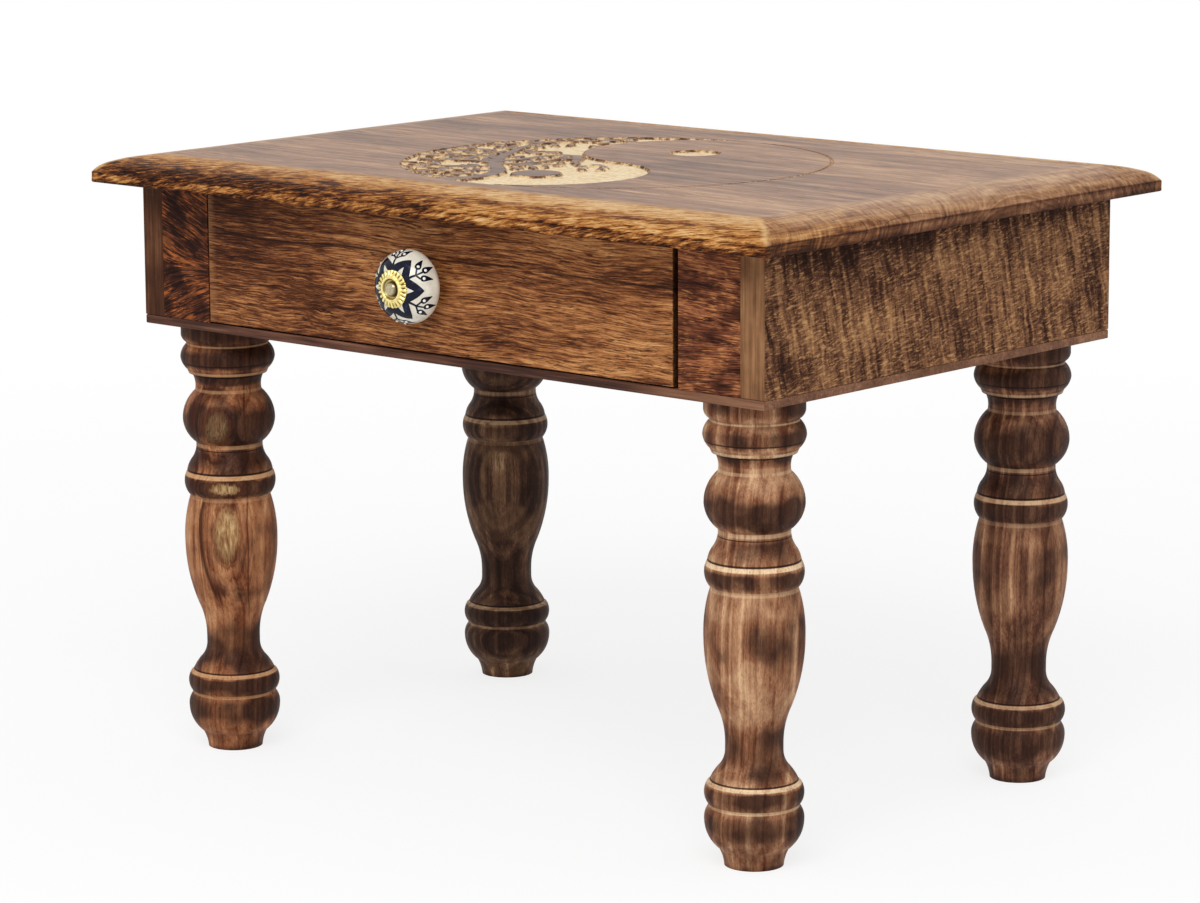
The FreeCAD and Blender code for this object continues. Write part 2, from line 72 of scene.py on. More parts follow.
class Wire:
    """A shader socket that takes part in sums and products like a number, a colour or a vector."""

    def __init__(self, tree, socket):
        self.tree = tree
        self.socket = socket

    def node(self, kind, settings, values, out=0):
        """One node: its settings first, then its sockets' values or links, and one output."""
        made = self.tree.nodes.new("ShaderNode" + kind)
        for name, value in settings.items():
            setattr(made, name, value)
        for key, value in values.items():
            if isinstance(value, Wire):
                self.tree.links.new(value.socket, made.inputs[key])
            else:
                made.inputs[key].default_value = value
        return Wire(self.tree, made.outputs[out])

    def combine(self, operation, first, second=0):
        """A sum, a product or the like of numbers or of vectors; a number scales a vector."""
        if self.socket.type == "VECTOR":
            if isinstance(second, (int, float)):
                return self.node("VectorMath", {"operation": "SCALE"}, {0: first, "Scale": second})
            return self.node("VectorMath", {"operation": operation}, {0: first, 1: second})
        return self.node("Math", {"operation": operation}, {0: first, 1: second})

    def __add__(self, other):
        return self.combine("ADD", self, other)
    __radd__ = __add__

    def __sub__(self, other):
        return self.combine("SUBTRACT", self, other)

    def __rsub__(self, other):
        return self.combine("SUBTRACT", other, self)

    def __mul__(self, other):
        return self.combine("MULTIPLY", self, other)
    __rmul__ = __mul__

    def __truediv__(self, other):
        return self.combine("DIVIDE", self, other)


def screen(colour):
    """A colour in screen levels from 0 to 255 as the linear light that shaders use."""
    return tuple(((c / 255 + 0.055) / 1.055) ** 2.4 for c in colour) + (1,)


def length_of(vector):
    return vector.node("VectorMath", {"operation": "LENGTH"}, {0: vector}, 1)


def feed(shader, **values):
    """Sets or links the shader's sockets, whose names are written with _ for a space."""
    for name, value in values.items():
        socket = shader.inputs[name.replace("_", " ")]
        if isinstance(value, Wire):
            value.tree.links.new(value.socket, socket)
        else:
            socket.default_value = value


def new_finish(name):
    """A new material, its shader and the place on the piece in millimetres."""
    material = bpy.data.materials.new(name)
    material.use_nodes = True
    tree = material.node_tree
    place = source(tree, "TexCoord", "Object") * 1000
    return material, tree.nodes["Principled BSDF"], place


def ray_kinds(tree):
    """Where a ray comes from: 1 on camera rays, and 1 on rays that a glossy surface sends."""
    return [source(tree, "LightPath", output) for output in ("Is Camera Ray", "Is Glossy Ray")]


paper, paper_shader, place = new_finish("white_paper")
feed(paper_shader, Base_Color=screen((252, 252, 252)), Roughness=0.9, Specular_IOR_Level=0)
straight, glossy = ray_kinds(paper.node_tree)
glow = straight.node("Emission", {}, {"Color": (1, 1, 1, 1), "Strength": 1})
far_off = place.node("MapRange", {}, {"Value": length_of(place), "From Min": 450, "From Max": 1500})
lit_paper = straight.node("MixShader", {}, {
    0: straight * (far_off * 0.22 + 0.78) + glossy * 0.9,
    1: Wire(paper.node_tree, paper_shader.outputs[0]), 2: glow})
paper.node_tree.links.new(lit_paper.socket, paper.node_tree.nodes["Material Output"].inputs["Surface"])
floor_mesh = bpy.data.meshes.new("floor")
floor_mesh.from_pydata([(-30, -30, 0), (30, -30, 0), (30, 30, 0), (-30, 30, 0)], [], [(0, 1, 2, 3)])
floor_mesh.materials.append(paper)
new_object("floor", floor_mesh)

surround = bpy.data.worlds.new("surround")
surround.use_nodes = True
scene.world = surround
straight, glossy = ray_kinds(surround.node_tree)
surround_light = surround.node_tree.nodes["Background"]
surround_light.inputs["Color"].default_value = (1, 1, 1, 1)
brightness = (straight + glossy) * 0.36 + 0.64
surround.node_tree.links.new(brightness.socket, surround_light.inputs["Strength"])

lamp_data = bpy.data.lights.new("softbox", "AREA")
lamp_data.shape = "RECTANGLE"
lamp_data.size, lamp_data.size_y = 2.4, 1.6
lamp_data.energy = 60
lamp = new_object("softbox", lamp_data)
lamp.location = (1.3, -2, 2.4)
lamp.rotation_euler = (Vector((0, 0, 0.25)) - lamp.location).to_track_quat("-Z", "Y").to_euler()


# The bottom board closes the box and carries the legs. It is a thin smooth panel of the same
# brown hardwood, stained reddish brown, with its grain along the table and softened edges.
def parts_of(place):
    return [place.node("SeparateXYZ", {}, {0: place}, index) for index in range(3)]


def vector_of(first, second, third):
    carrier = next(part for part in (first, second, third) if isinstance(part, Wire))
    return carrier.node("CombineXYZ", {}, {0: first, 1: second, 2: third})


def span(first, second):
    """How far a point lies from where both of its measures are 0."""
    return length_of(vector_of(first, second, 0))


def along_grain(place, direction):
    """The place with the grain's direction first."""
    x, y, z = parts_of(place)
    return vector_of(*{"X": (x, y, z), "Y": (y, z, x), "Z": (z, x, y)}[direction])


def clouds(place, detail=2, roughness=0.5, distortion=0):
    """Soft noise about a half, with one cloud to each unit of the place or its three measures."""
    place = place if isinstance(place, Wire) else vector_of(*place)
    return place.node("TexNoise", {}, {
        "Vector": place, "Scale": 1, "Detail": detail, "Roughness": roughness, "Distortion": distortion})


def waves(value, detail, roughness=0.5):
    """Soft noise about a half along one measure."""
    return value.node("TexNoise", {"noise_dimensions": "1D"}, {
        "W": value, "Scale": 1, "Detail": detail, "Roughness": roughness})


def between(value, low, high):
    """0 on one side of a stretch, 1 on its other side and a soft change over it."""
    return value.node("MapRange", {"interpolation_type": "SMOOTHSTEP"},
                      {"Value": value, "From Min": low, "From Max": high})


def blend(mask, first, second):
    """The first colour where the mask is 0, and the second where it is 1."""
    second = second if isinstance(second, Wire) else screen(second)
    return mask.node("Mix", {"data_type": "RGBA"}, {0: mask, 6: first, 7: second}, 2)


def ramp(field, places, levels):
    """A change over a field, with a grey level or a colour at each of these places on it."""
    made = field.node("ValToRGB", {}, {0: field})
    elements = made.socket.node.color_ramp.elements
    elements.remove(elements[1])
    for place, level in zip(places, levels):
        stop = elements[0] if place == places[0] else elements.new(place)
        stop.position = place
        stop.color = (level, level, level, 1) if isinstance(level, (int, float)) else screen(level)
    return made


def year_bands(grain, heart, lean, band, sway):
    """Bands around the tree's heart, a line beside the piece that leans as it runs along."""
    across = clouds(grain * (0.006, 0.02, 0.02), 3) - 0.5
    deep = clouds(grain * (0.007, 0.018, 0.018) + (7, 3, 5), 3) - 0.5
    along, first, second = parts_of(grain)
    a = first - heart[0] - along * lean[0] + across * sway
    b = second - heart[1] - along * lean[1] + deep * sway
    return waves(span(a, b) / band, 3, 0.6)


def layered(*layers):
    """Sums fields, each with its weight, about a middle tone of a half."""
    middle = 0.5 - sum(weight for _, weight in layers) / 2
    return sum((field * weight for field, weight in layers), middle)


def strands(grain, length, width, seed=0, roughness=0.6):
    """Streaks along the grain of about this length and width."""
    return clouds(grain * (1 / length, 1 / width, 1 / width) + (seed, seed, seed), 4, roughness, 0.2)


def pores(grain, length=10, width=0.9, low=0.57, high=0.66):
    """Short dark dashes along the grain."""
    return between(clouds(grain * (1 / length, 1 / width, 1 / width), 2, 0.6), low, high)


def wax(shader, colour, streaks, dents, gloss=0.4, relief=0.25):
    """A thin rubbed wax finish, duller and rougher where the fibres and pores stand open."""
    feed(shader, Base_Color=colour, Roughness=gloss + streaks * 0.18 + dents * 0.15, Specular_IOR_Level=0.06,
         Normal=streaks.node("Bump", {}, {
             "Strength": relief, "Distance": 0.0006, "Height": streaks - dents * 0.6}))


def dress(node, material, softened=0):
    """Gives a construction piece its finish and, if asked, softly rounded edges in millimetres."""
    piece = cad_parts[node]
    piece.data.materials.clear()
    piece.data.materials.append(material)
    if softened:
        weld = piece.modifiers.new("join the faces", "WELD")
        weld.merge_threshold = 1e-6
        edges = piece.modifiers.new("softened edges", "BEVEL")
        edges.width = softened / 1000
        edges.segments = 3
        edges.limit_method = "ANGLE"
        edges.angle_limit = radians(35)


bottom_wood, shader, place = new_finish("bottom_board_wood")
grain = along_grain(place, "X")
streaks = strands(grain, 45, 1.2)
tone = layered((clouds(grain * (0.01, 0.03, 0.03), 3), 0.5), (strands(grain, 90, 5, 3), 0.6),
               (streaks, 0.6))
colour = ramp(tone, (0.26, 0.42, 0.52, 0.72), ((44, 28, 26), (66, 43, 35), (90, 59, 47), (130, 92, 72)))
right_corner = between(parts_of(place)[0], 130, 190)
colour = blend(right_corner * 0.7, colour, ramp(tone, (0.3, 0.5, 0.7), (
    (102, 68, 50), (126, 88, 66), (160, 118, 90))))
wax(shader, colour, streaks, pores(grain) * 0.4)
dress("bottom_board", bottom_wood, 0.7)


# The side boards are rough from the saw: steep dark bands lean across the wavy grain, and fine
# bright ripples run along it. Their smooth front ends show beside the front's narrow stiles.
def size_of(value):
    return value.combine("ABSOLUTE", value)


def sawn_side(name, end_colours):
    material, shader, place = new_finish(name)
    x, y, z = parts_of(place)
    saw_lean, end_y = 0.24, 154.7
    leaning = y + z * saw_lean
    sway = clouds((y * 0.03, z * 0.045, 3), 2) - 0.5
    saw_bands = clouds((leaning * 0.13 + sway * 0.9, z * 0.016, 1), 4, 0.65)
    fine_bands = clouds((leaning * 0.32 + sway * 2, z * 0.035, 6), 2, 0.6)
    ripple = clouds((y * 0.22, z * 0.9 - y * 0.13, x * 0.2), 3, 0.55, 0.8)
    patches = clouds((y * 0.016, z * 0.03, 8), 3)
    # The band just under the top is darkened as painted shade from the top's overhang.
    painted_shade_under_top = between(z, 318, 342)
    tone = layered((saw_bands, 0.8), (fine_bands, 0.5), (ripple, 0.7), (patches, 0.55))
    tone = tone - painted_shade_under_top * 0.18 - 0.01
    colour = ramp(tone, (0.22, 0.38, 0.5, 0.62, 0.78), (
        (36, 19, 13), (70, 42, 28), (110, 73, 49), (146, 104, 70), (180, 138, 92)))
    glints = between(ripple, 0.54, 0.7) * between(tone, 0.38, 0.58)
    colour = blend(glints * 0.5, colour, (194, 150, 98))
    end_tone = layered((strands(along_grain(place, "Z"), 40, 2, 2), 0.8), (clouds(place * 0.05, 3), 0.6))
    end_grain = between(size_of(y), end_y - 0.3, end_y + 0.3)
    colour = blend(end_grain, colour, ramp(end_tone, (0.28, 0.5, 0.72), end_colours))
    dents = between(tone, 0.46, 0.34) * (1 - end_grain)
    wax(shader, colour, ripple, dents, 0.44, 0.3)
    return material


for side, end_colours in (("right", ((86, 56, 38), (128, 90, 60), (156, 116, 82))),
                          ("left", ((50, 28, 19), (78, 47, 30), (108, 70, 48)))):
    dress("side_board_" + side, sawn_side(side + "_side_wood", end_colours), 0.8)


# The back board stands between the side boards. It is a plain flat-sawn board, stained and waxed
# like the front, and it shows only from behind.
def flat_board(name, direction, stops, heart, lean, band=6, sway=14, dark_pores=(40, 22, 13)):
    material, shader, place = new_finish(name)
    grain = along_grain(place, direction)
    streaks = strands(grain, 34, 1)
    dents = pores(grain)
    tone = layered((year_bands(grain, heart, lean, band, sway), 0.6), (strands(grain, 90, 5, 5), 0.4),
                   (streaks, 0.5))
    colour = blend(dents * 0.5, ramp(tone, *stops), dark_pores)
    wax(shader, colour, streaks, dents)
    return material


back_wood = flat_board("back_board_wood", "X", (
    (0.26, 0.42, 0.52, 0.74), ((56, 32, 20), (88, 54, 34), (116, 76, 48), (158, 114, 76))),
    (60, 380), (0.02, 0.1))
dress("back_board", back_wood, 0.8)


# The two stiles beside the drawer are offcuts of the darkest, reddest wood, with the grain lying
# across them, burnt in patches and rubbed back to orange flecks.
def burnt_stile(name, middle, seed, fan, shades, fleck):
    material, shader, place = new_finish(name)
    x, y, z = parts_of(place)
    tilt = (between(z, 278, 306) - 0.5) * fan
    slanted = vector_of(x + seed, y + seed, z + (x - middle) * tilt + seed)
    broad = clouds((x * 0.05 + seed, z * 0.07, 2), 3)
    streaks = strands(slanted, 12, 0.8)
    tone = layered((broad, 0.65), (strands(slanted, 24, 3, 3), 0.65), (streaks, 0.8))
    flecks = pores(slanted, 8, 0.8, 0.53, 0.64)
    colour = ramp(tone, (0.24, 0.4, 0.5, 0.6, 0.76), shades)
    colour = blend(flecks * between(broad, 0.4, 0.56) * 0.8, colour, fleck)
    dents = pores(slanted + (31, 0, 17), 9, 0.8)
    colour = blend(dents * 0.6, colour, (24, 10, 7))
    wax(shader, colour, streaks, dents)
    return material


for side, middle, seed, fan, shades, fleck in (
        ("left", -205, 11, 0.8, ((18, 7, 5), (36, 16, 10), (60, 29, 18), (96, 52, 31), (142, 86, 48)),
         (176, 98, 48)),
        ("right", 205, 37, 0.1, ((32, 14, 9), (62, 31, 20), (94, 51, 33), (132, 78, 51), (176, 116, 76)),
         (186, 124, 70))):
    dress("front_stile_" + side, burnt_stile(side + "_stile_wood", middle, seed, fan, shades, fleck),
          0.8)


# Inside the box the wood is left unstained: cleats under the top, guides and stops for the drawer,
# and a block in each corner into which the legs' bolts are screwed.
inner_places = (0.26, 0.5, 0.74)
inner_wood = flat_board("inner_wood", "Y", (inner_places, ((126, 94, 64), (166, 130, 94), (198, 164, 126))),
                        (300, 60), (0.05, 0.04), 7, 10, (96, 66, 42))
dress("drawer_stops", inner_wood, 0.5)
for side in ("left", "right"):
    for name in ("top_cleat_", "drawer_guide_", "corner_block_front_", "corner_block_back_"):
        dress(name + side, inner_wood, 0.5)


# The screws, hanger bolts and threaded inserts are zinc-plated steel, turned and left bright, with
# a faint yellow cast and fine scuffs.
zinc, shader, place = new_finish("zinc_plate")
scuffs = clouds(place * (2.2, 2.2, 0.7), 4, 0.7)
feed(shader, Base_Color=ramp(scuffs, (0.3, 0.7), ((150, 148, 140), (196, 194, 184))), Metallic=1,
     Roughness=0.28 + scuffs * 0.2)
for name in ("top_screws", "bottom_screws", "threaded_inserts", "hanger_bolts", "drawer_pins", "knob_washer",
             "knob_nut"):
    dress(name, zinc)


# Each leg is turned from one square billet: foot, bead, belly, bead, ball and bead, parted by fine
# fillets. The turner scorches the swelling parts and leaves the fillets and hollows pale.
leg_height, leg_radius = 256, 27.9
leg_places = {"front_left": (-200.6, -121.9), "front_right": (200.6, -121.9),
              "back_left": (-200.6, 118.9), "back_right": (200.6, 118.9)}
# The turning from the floor up: shares of the bead's radius and of the leg's height. A row of two
# ends a straight stretch, a row of four gives an arc's middle and its end.
turning_shares = [
    (0.58, 0),
    (0.612, 0.018, 0.69, 0.038), (0.875, 0.061, 0.972, 0.099), (0.95, 0.117, 0.868, 0.131),
    (0.972, 0.156, 0.92, 0.179), (0.88, 0.181),
    (0.815, 0.195, 0.718, 0.21), (0.618, 0.225, 0.568, 0.247), (0.568, 0.268),
    (0.614, 0.309, 0.728, 0.345), (0.902, 0.409, 0.984, 0.495), (0.96, 0.544, 0.85, 0.598),
    (0.968, 0.63, 0.93, 0.651), (0.91, 0.654),
    (0.872, 0.67, 0.803, 0.683), (0.736, 0.697, 0.706, 0.712), (0.706, 0.722),
    (0.895, 0.745, 0.98, 0.776), (0.93, 0.808, 0.708, 0.843),
    (0.7, 0.862, 0.755, 0.881),
    (0.83, 0.884), (0.865, 0.893),
    (0.958, 0.906, 1, 0.921), (0.962, 0.938, 0.872, 0.951), (0.872, 0.956),
    (0.948, 0.963, 0.983, 0.977), (0.983, 1),
]


def arc(start, middle, end, steps):
    """Points on the circle through three points, without the first one."""
    a, b, c = (complex(*point) for point in (start, middle, end))
    ratio = (c - a) / (b - a)
    centre = a + (b - a) * (ratio - abs(ratio) ** 2) / (2j * ratio.imag)
    turn = phase((b - centre) / (a - centre)) + phase((c - centre) / (b - centre))
    points = [centre + (a - centre) * rect(1, turn * (step + 1) / steps) for step in range(steps)]
    return [(point.real, point.imag) for point in points]


def turning_outline():
    """Radius and height in millimetres, from the floor up."""
    sized = [tuple(v * (leg_radius, leg_height)[i % 2] for i, v in enumerate(row)) for row in turning_shares]
    outline = [sized[0]]
    for row in sized[1:]:
        if len(row) == 2:
            outline.append(row)
        else:
            outline += arc(outline[-1], row[:2], row[2:], 8)
    return outline


def new_piece(name, shape, material, body, replaced=(), crease=0):
    """A smooth mesh piece from points in millimetres and faces, riding on its body."""
    mesh = bpy.data.meshes.new(name)
    mesh.from_pydata([tuple(c / 1000 for c in v) for v in shape[0]], [], shape[1])
    mesh.polygons.foreach_set("use_smooth", [True] * len(mesh.polygons))
    mesh.materials.append(material)
    if crease:
        sharpen(mesh, crease)
    piece = new_object(name, mesh)
    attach(piece, body)
    if replaced:
        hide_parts(*replaced)


def sharpen(mesh, degrees):
    """Keeps the creases that are steeper than this crisp under smooth shading."""
    opened = bmesh.new()
    opened.from_mesh(mesh)
    for edge in opened.edges:
        if len(edge.link_faces) == 2 and edge.calc_face_angle(0) > radians(degrees):
            edge.smooth = False
    opened.to_mesh(mesh)
    opened.free()


def ring_faces(rows, around, facing=1):
    """The faces between rows of points, where each row is a closed ring; -1 turns them over."""
    faces = []
    for row in range(rows - 1):
        for step in range(around):
            near, far = row * around + step, row * around + (step + 1) % around
            faces.append((near,) + (far, far + around, near + around)[::facing])
    return faces


def lathe(outline, around, point):
    """A turned form from rows of radius and height, closed at both ends."""
    vertices = [point(radius, 2 * pi * step / around, height)
                for radius, height in outline for step in range(around)]
    last = (len(outline) - 1) * around
    ends = [tuple(reversed(range(around))), tuple(range(last, last + around))]
    return vertices, ring_faces(len(outline), around) + ends


def leg_point(radius, angle, height, centre, seed, unround=0.12):
    """A point about the leg's axis, drawn in a little where the turning is uneven."""
    c, s = cos(angle), sin(angle)
    reach = radius + unround * (noise.noise((c * 0.9, s * 0.9, height * 0.03 + seed)) - 1)
    return (centre[0] + reach * c, centre[1] + reach * s, height)


# How dark the turner's scorching is up the leg. A ramp takes no more stops, so that the shares above
# top_start are given in a second row, from 0 there to 1 at the leg's top.
scorched_shares = [
    (0, 0.6), (0.012, 0.2), (0.05, 0.02), (0.088, 0.75), (0.118, 0.62), (0.131, 0.15),
    (0.14, 0.55), (0.156, 1), (0.172, 0.95), (0.178, 0.05), (0.192, 0.25), (0.212, 0.65), (0.24, 0.75),
    (0.285, 0.7), (0.33, 0.15), (0.42, 0.1), (0.48, 0.5), (0.53, 0.5), (0.558, 0.05), (0.6, 0),
    (0.612, 0.7), (0.636, 1), (0.646, 0.1), (0.665, 0.35), (0.7, 0.7), (0.713, 0.15), (0.728, 0.6),
    (0.745, 1), (0.782, 1), (0.808, 0.4), (0.83, 0), (0.86, 0.1)]
top_start = 0.86
scorched_top_shares = [(0, 0.3), (0.12, 0.9), (0.2, 0.45), (0.27, 0.05), (0.36, 0.95), (0.5, 0.9),
                       (0.6, 0.35), (0.7, 0.2), (0.82, 0.65), (1, 0.8)]
# The pale rings and the fine dark cut lines, each with its start, its end and its strength
pale_ring_shares = [(0.129, 0.136, 0.7), (0.178, 0.185, 1), (0.592, 0.602, 0.3), (0.6455, 0.6548, 1),
                    (0.713, 0.722, 0.5), (0.843, 0.85, 0.4), (0.885, 0.891, 0.6), (0.951, 0.955, 0.5)]
cut_line_shares = [(0.185, 0.1885, 1), (0.655, 0.6595, 1), (0.7065, 0.709, 1), (0.879, 0.8835, 1),
                   (0.908, 0.911, 1)]


def within(value, low, high, soft):
    """1 inside a stretch and 0 outside it."""
    return between(value, low - soft, low + soft) * between(value, high + soft, high - soft)


def any_of(value, stretches, soft):
    """The strength of the stretch that the value lies in, or else 0."""
    return sum(within(value, low, high, soft) * strength for low, high, strength in stretches)


def lesser(first, second):
    return first.combine("MINIMUM", first, second)


def leg_wood(name, centre, seed, stops, burnt_stops, heart, scorch_depth, ring_colour, more_burn=0,
             painted_shade_side=(0, 0), knots=()):
    material, shader, place = new_finish(name)
    x, y, z = parts_of(place - (centre[0], centre[1], 0))
    share = z / leg_height
    grain = along_grain(vector_of(x, y, z), "Z")
    if knots:
        # The side that the knots lie on faces the front right corner. Each knot has its place across
        # that side and above the floor, and its half width and half height.
        aside = x * 0.69 + y * 0.724
        pull = reduce(lesser, [span((aside - knot_aside) / half_width, (z - knot_height) / half_height)
                               for knot_aside, knot_height, half_width, half_height in knots])
        facing_front = between(x * 0.724 - y * 0.69, 0, 8)
        near = between(pull, 3.4, 0.9) * facing_front
        grain = grain + vector_of(0, near * 5, near * 5)
    streaks = strands(grain, 60, 1.1, seed, 0.5)
    wide = strands(grain, 200, 5, seed + 4, 0.45)
    bands = year_bands(grain, heart, (0.03, 0.05), 5, 8)
    speckle = clouds(place * (1.2, 1.2, 0.4), 2, 0.6)
    tone = layered((bands, 0.7), (wide, 0.85), (streaks, 0.28), (speckle, 0.28))
    if knots:
        tone = tone + (waves(pull * 3.2 + (wide - 0.5) * 3, 2) - 0.5) * near * 0.9
    colour = ramp(tone, *stops)
    lower = ramp(share, *zip(*scorched_shares))
    upper = ramp((share - top_start) / (1 - top_start), *zip(*scorched_top_shares))
    upper_share = between(share, top_start, top_start + 0.0005)
    uneven = clouds((x * 0.045 + seed, y * 0.045, z * 0.035), 2, 0.6) - 0.5
    # Besides the turner's scorching, a term across the leg darkens one side of it as painted shade.
    scorch_and_painted_shade = (lower * (1 - upper_share) + upper * upper_share + uneven * 2.5 + (wide - 0.5) * 0.55
             + (streaks - 0.5) * 0.15 + x * painted_shade_side[0] + y * painted_shade_side[1]
             + (1 - within(share, 0.28, 0.6, 0.03)) * more_burn)
    # Pale where the wood is rubbed bare, and through that term also painted lighter on the side away from the
    # painted shade.
    rubbed_and_painted_light = between(scorch_and_painted_shade, 0.28, -0.15)
    lightest = stops[1][-1]
    bared = ramp(tone, (0.3, 0.6, 0.8), (stops[1][-2], lightest, (224, 190, 148)))
    colour = blend(rubbed_and_painted_light * 0.5, colour, bared)
    colour = blend(between(scorch_and_painted_shade, 0.2, 1.05) * scorch_depth, colour, ramp(tone * 0.6 + 0.2, *burnt_stops))
    if knots:
        rough = clouds(place * (0.8, 0.8, 0.12), 4, 0.65)
        inside = between(pull + (rough - 0.5) * 1.9 + uneven, 1.15, 0.8) * facing_front
        knot_tone = ramp(rough, (0.36, 0.5, 0.64), ((118, 80, 48), (164, 128, 86), (204, 174, 126)))
        colour = blend(inside * (between(z, 180, 170) * 0.55 + 0.25), colour, knot_tone)
        outline = within(pull + (rough - 0.5) * 1.2 + uneven, 1.08, 1.3, 0.12) * facing_front
        colour = blend(outline * 0.55, colour, (92, 48, 28))
        bow = within(pull + (wide - 0.5) * 1.2, 1.95, 2.35, 0.2) * facing_front * between(aside, -1, -5)
        crack_line = aside + (clouds((2, 5, z * 0.022), 3) - 0.5) * 5
        crack = within(crack_line, 9, 9.8, 0.5) * facing_front
        colour = blend(bow * 0.9 + crack * 0.85 * between(z, 74, 90), colour, (58, 27, 17))
    pale = any_of(share, pale_ring_shares, 0.0012) * between(uneven + streaks * 0.5, 0, 0.16)
    colour = blend(pale * 0.9, colour, ramp(tone, (0.3, 0.6), (lightest, ring_colour)))
    cut = any_of(share, cut_line_shares, 0.0009)
    colour = blend(cut * 0.9, colour, (28, 16, 14))
    dents = pores(grain, 7, 0.7)
    colour = blend(dents * 0.35, colour, (44, 26, 19))
    tool_marks = clouds((0, 0, z * 1.4), 2)
    wax(shader, colour, streaks * 0.7 + tool_marks * 0.3, dents)
    return material


front_places, back_places = (0.2, 0.36, 0.5, 0.64, 0.82), (0.24, 0.4, 0.5, 0.6, 0.76)
burnt_places = (0.26, 0.5, 0.74)
warm_burn = (0.22, 0.42, 0.58, 0.8), ((24, 13, 11), (40, 23, 18), (64, 39, 29), (102, 68, 49))
leg_finishes = {
    "front_right": dict(
        seed=1, heart=(-80, -72), scorch_depth=0.94, more_burn=-0.04, painted_shade_side=(0.006, 0.005),
        ring_colour=(234, 206, 168), burnt_stops=warm_burn, stops=(front_places, (
            (76, 40, 26), (106, 63, 42), (138, 93, 66), (166, 121, 89), (206, 166, 128)))),
    "front_left": dict(
        seed=5, heart=(-76, -80), scorch_depth=0.94, more_burn=0.34, painted_shade_side=(0.004, 0.004),
        knots=((-3, 134, 7, 17), (-3, 160, 9, 4), (-7, 197, 7, 10)),
        ring_colour=(204, 160, 118), burnt_stops=warm_burn, stops=(front_places, (
            (72, 34, 21), (110, 62, 39), (142, 90, 60), (168, 114, 77), (194, 142, 100)))),
    # The back left leg is dark wood, and its stops are darker still as painted shade for its place in the
    # shade behind the table.
    "back_left": dict(
        seed=9, heart=(-30, 26), scorch_depth=0.75, more_burn=-0.12, ring_colour=(190, 156, 122),
        burnt_stops=(burnt_places, ((22, 14, 12), (46, 30, 24), (82, 56, 42))), stops=(back_places, (
            (38, 23, 18), (56, 37, 29), (74, 51, 40), (98, 69, 52), (138, 104, 76)))),
    "back_right": dict(
        seed=13, heart=(-84, -60), scorch_depth=0.9, more_burn=0.34, ring_colour=(206, 172, 136),
        burnt_stops=(burnt_places, ((22, 12, 10), (52, 32, 25), (96, 64, 48))), stops=(back_places, (
            (60, 34, 25), (88, 55, 40), (114, 75, 56), (140, 98, 72), (176, 132, 98)))),
}
for corner, centre in leg_places.items():
    choice = leg_finishes[corner]
    new_piece("turned_leg_" + corner,
              lathe(turning_outline(), 96, lambda *place: leg_point(*place, centre, choice["seed"])),
              leg_wood("leg_wood_" + corner, centre, **choice), "table", ("leg_" + corner,), 32)


# The drawer front is one board with straight, lightly waved grain, short dark pores and one long
# dark line. Its left end is rubbed pale, and its right end is painted near black as the shade in
# the gap beside the stile.
front_wood, shader, place = new_finish("drawer_front_wood")
x, y, z = parts_of(place)
curl_x, curl_z, dark_line_z, right_end = -95, 286, 314.8, 172.1
wave = clouds((x * 0.011, z * 0.025, 4), 2) - 0.5
curl = between(span((x - curl_x) / 40, (z - curl_z) / 16.1245), 1.3, 0.3)
eddy = clouds((x * 0.07, z * 0.06, 7), 1) - 0.5
waved = vector_of(x, y, z + wave * 12 + curl * eddy * 7)
streaks = strands(waved, 15, 0.75, 0, 0.76)
wide = strands(waved, 60, 3, 3, 0.68)
broad = clouds((x * 0.01, z * 0.04, 6), 3)
tone = layered((broad, 0.5), (wide, 0.45), (streaks, 1.05)) - between(x, 40, -170) * 0.11
colour = ramp(tone, (0.24, 0.38, 0.48, 0.58, 0.74), (
    (42, 19, 10), (86, 46, 25), (132, 81, 47), (170, 114, 68), (204, 152, 98)))
dashes = pores(waved + (0, 13, 0), 9, 0.7, 0.56, 0.62)
dash_field = between(clouds((x * 0.018, z * 0.05, 9), 2), 0.36, 0.56)
colour = blend(dashes * (dash_field * 0.45 + curl * 0.25 + 0.3), colour, (44, 21, 12))
sagging = dark_line_z + (clouds((x * 0.01, 0, 2), 3) - 0.5) * 12
line = within(z - sagging, -0.8, 0.5, 0.6) * between(clouds((x * 0.02, 1, 1), 2), 0.3, 0.48)
colour = blend(line * 0.85, colour, (34, 16, 10))
worn = between(x, -172, -179) * between(streaks, 0.35, 0.55)
colour = blend(worn * 0.7, colour, (146, 100, 64))
# The right end is painted near black as shade in the gap beside the stile.
colour = blend(between(x, right_end - 0.3, right_end + 0.3) * 0.85, colour, (22, 12, 9))
wax(shader, colour, streaks, dashes * 0.6)
dress("drawer_front", front_wood)


# Behind its front the drawer is unstained wood, rebated and pinned at the corners, with a thin
# panel that slides into grooves for its bottom.
drawer_wood = flat_board("drawer_wood", "Y", (inner_places, ((130, 96, 64), (172, 136, 98), (202, 168, 128))),
                         (250, -40), (0.03, 0.08), 6, 10, (100, 70, 44))
panel_wood = flat_board(
    "drawer_panel_wood", "Y", (inner_places, ((146, 112, 76), (184, 150, 110), (208, 176, 136))),
    (240, 30), (0.05, 0.08), 9, 14, (112, 80, 52))
for name in ("drawer_side_left", "drawer_side_right", "drawer_back"):
    dress(name, drawer_wood, 0.6)
dress("drawer_bottom", panel_wood)


# The knob is a glazed ceramic body on one screw. Its glaze is cream white, faintly speckled, and
# its foot sits in a thin pressed brass ferrule.
knob_seat, bore = (-7, -155.4, 300.3), 2.1
# The front is a quarter of an ellipse, turned about the axis: where its middle is and its half widths
round_radius, round_reach, half_across, half_deep = 10, 12.5, 10.7, 13
front_seat = round_reach + half_deep


def knob_point(radius, angle, reach):
    """A point about the knob's axis, that far in front of the drawer."""
    x, y, z = knob_seat
    return (x + radius * cos(angle), y - reach, z + radius * sin(angle))


